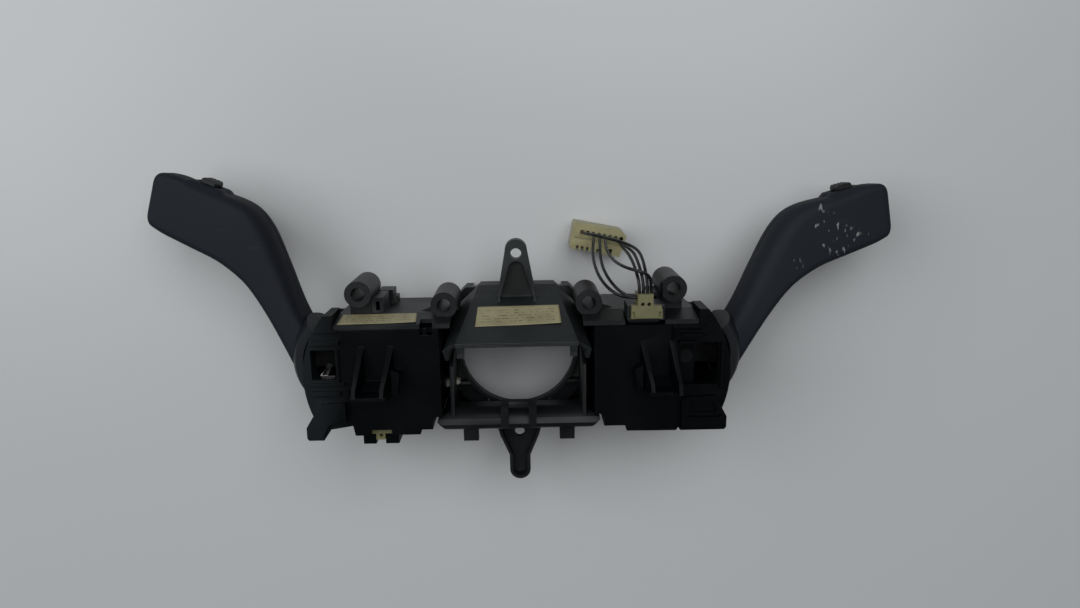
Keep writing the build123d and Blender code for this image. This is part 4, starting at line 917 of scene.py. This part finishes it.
# %% Labels in place: corners in millimetres
HOOD_EDGE_Y, HOOD_EDGE_Z = 11.2, 56.0     # near edge of the hood's slope
HOOD_RUN, HOOD_FALL = 17.7, 34.0


def hood_point(x, up):
    """A point on the hood's slope: x, and the way up from its near edge."""
    share = up / hypot(HOOD_RUN, HOOD_FALL)
    return (x, HOOD_EDGE_Y + share * HOOD_RUN, HOOD_EDGE_Z - share * HOOD_FALL)


hood_corners = [hood_point(-17.2, 10.4), hood_point(18.4, 11.4), hood_point(17.8, 23.6),
                hood_point(-16.6, 23.1)]
wall_corners = [(-72.4, 19.35, 52.3), (-40.6, 19.40, 52.0), (-41.4, 21.15, 41.9),
                (-72.0, 21.10, 42.3)]
label("hood_sticker", "hood_label", hood_corners, 0.5,
      label_paper("hood paper", rows=7, columns=46, seed=3.0))
label("wall_sticker", "left_label", wall_corners, 0.4,
      label_paper("wall paper", rows=5, columns=40, seed=8.0))

# %% [markdown]
# ## Wire starts and lengths
#
# The start of each wire is put in metres and its length is worked out again; neither is
# kept.

for wire, start in wires:
    [x * MM for x in start]
    curve_length(wire)

# %% [markdown]
# ## Table and light
#
# A pale, slightly glossy table under two wide soft lights, a window at the left and a
# ceiling light beyond, and a dim room so that the near walls don't go fully black.


# %% Table
def table_top():
    """Pale laminate with a faint cloudiness."""
    s = Shader("pale table")
    cloud = s.noise(1.6, detail=3.0)
    tone = s.blend(cloud, (0.50, 0.51, 0.515, 1.0), (0.58, 0.59, 0.595, 1.0))
    return s.finish(base_color=tone, roughness=0.32)


TABLE_HALF, TABLE_Z = 3.0, -0.0003
table_points = np.array([[(-1, -1), (-1, 1)], [(1, -1), (1, 1)]], dtype=float) * TABLE_HALF
table_points = np.concatenate([table_points, np.full((2, 2, 1), TABLE_Z)], axis=-1)
table_mesh = grid_mesh("table", table_points)
outward(table_mesh)
table_mesh.materials.append(table_top())
table = bpy.data.objects.new("table", table_mesh)
bpy.context.collection.objects.link(table)


# %% Lights
def soft_light(name, at, aim, side, power, colour):
    """A square area light at a place, turned towards a point."""
    lamp = bpy.data.lights.new(name, "AREA")
    lamp.shape = "RECTANGLE"
    lamp.size = lamp.size_y = side
    lamp.energy = power
    lamp.color = colour
    holder = bpy.data.objects.new(name, lamp)
    holder.location = at
    direction = Vector(aim) - Vector(at)
    holder.rotation_euler = direction.to_track_quat("-Z", "Y").to_euler()
    bpy.context.collection.objects.link(holder)


soft_light("window", (-1.25, 0.55, 1.30), (0.0, 0.0, 0.0), 1.5, 17.5, (0.97, 0.985, 1.0))
soft_light("ceiling", (0.36, 0.90, 1.70), (0.10, 0.0, 0.0), 1.6, 21.0, (0.97, 0.99, 1.0))
world = bpy.data.worlds.new("room")
world.use_nodes = True
room = world.node_tree.nodes["Background"]
room.inputs["Color"].default_value = (0.90, 0.95, 1.0, 1.0)
room.inputs["Strength"].default_value = 0.06
bpy.context.scene.world = world
bpy.context.scene.view_settings.view_transform = "Standard"

# %% [markdown]
# ## Finish
#
# The view layer is brought up to date.

# %% Finish
bpy.context.view_layer.update()
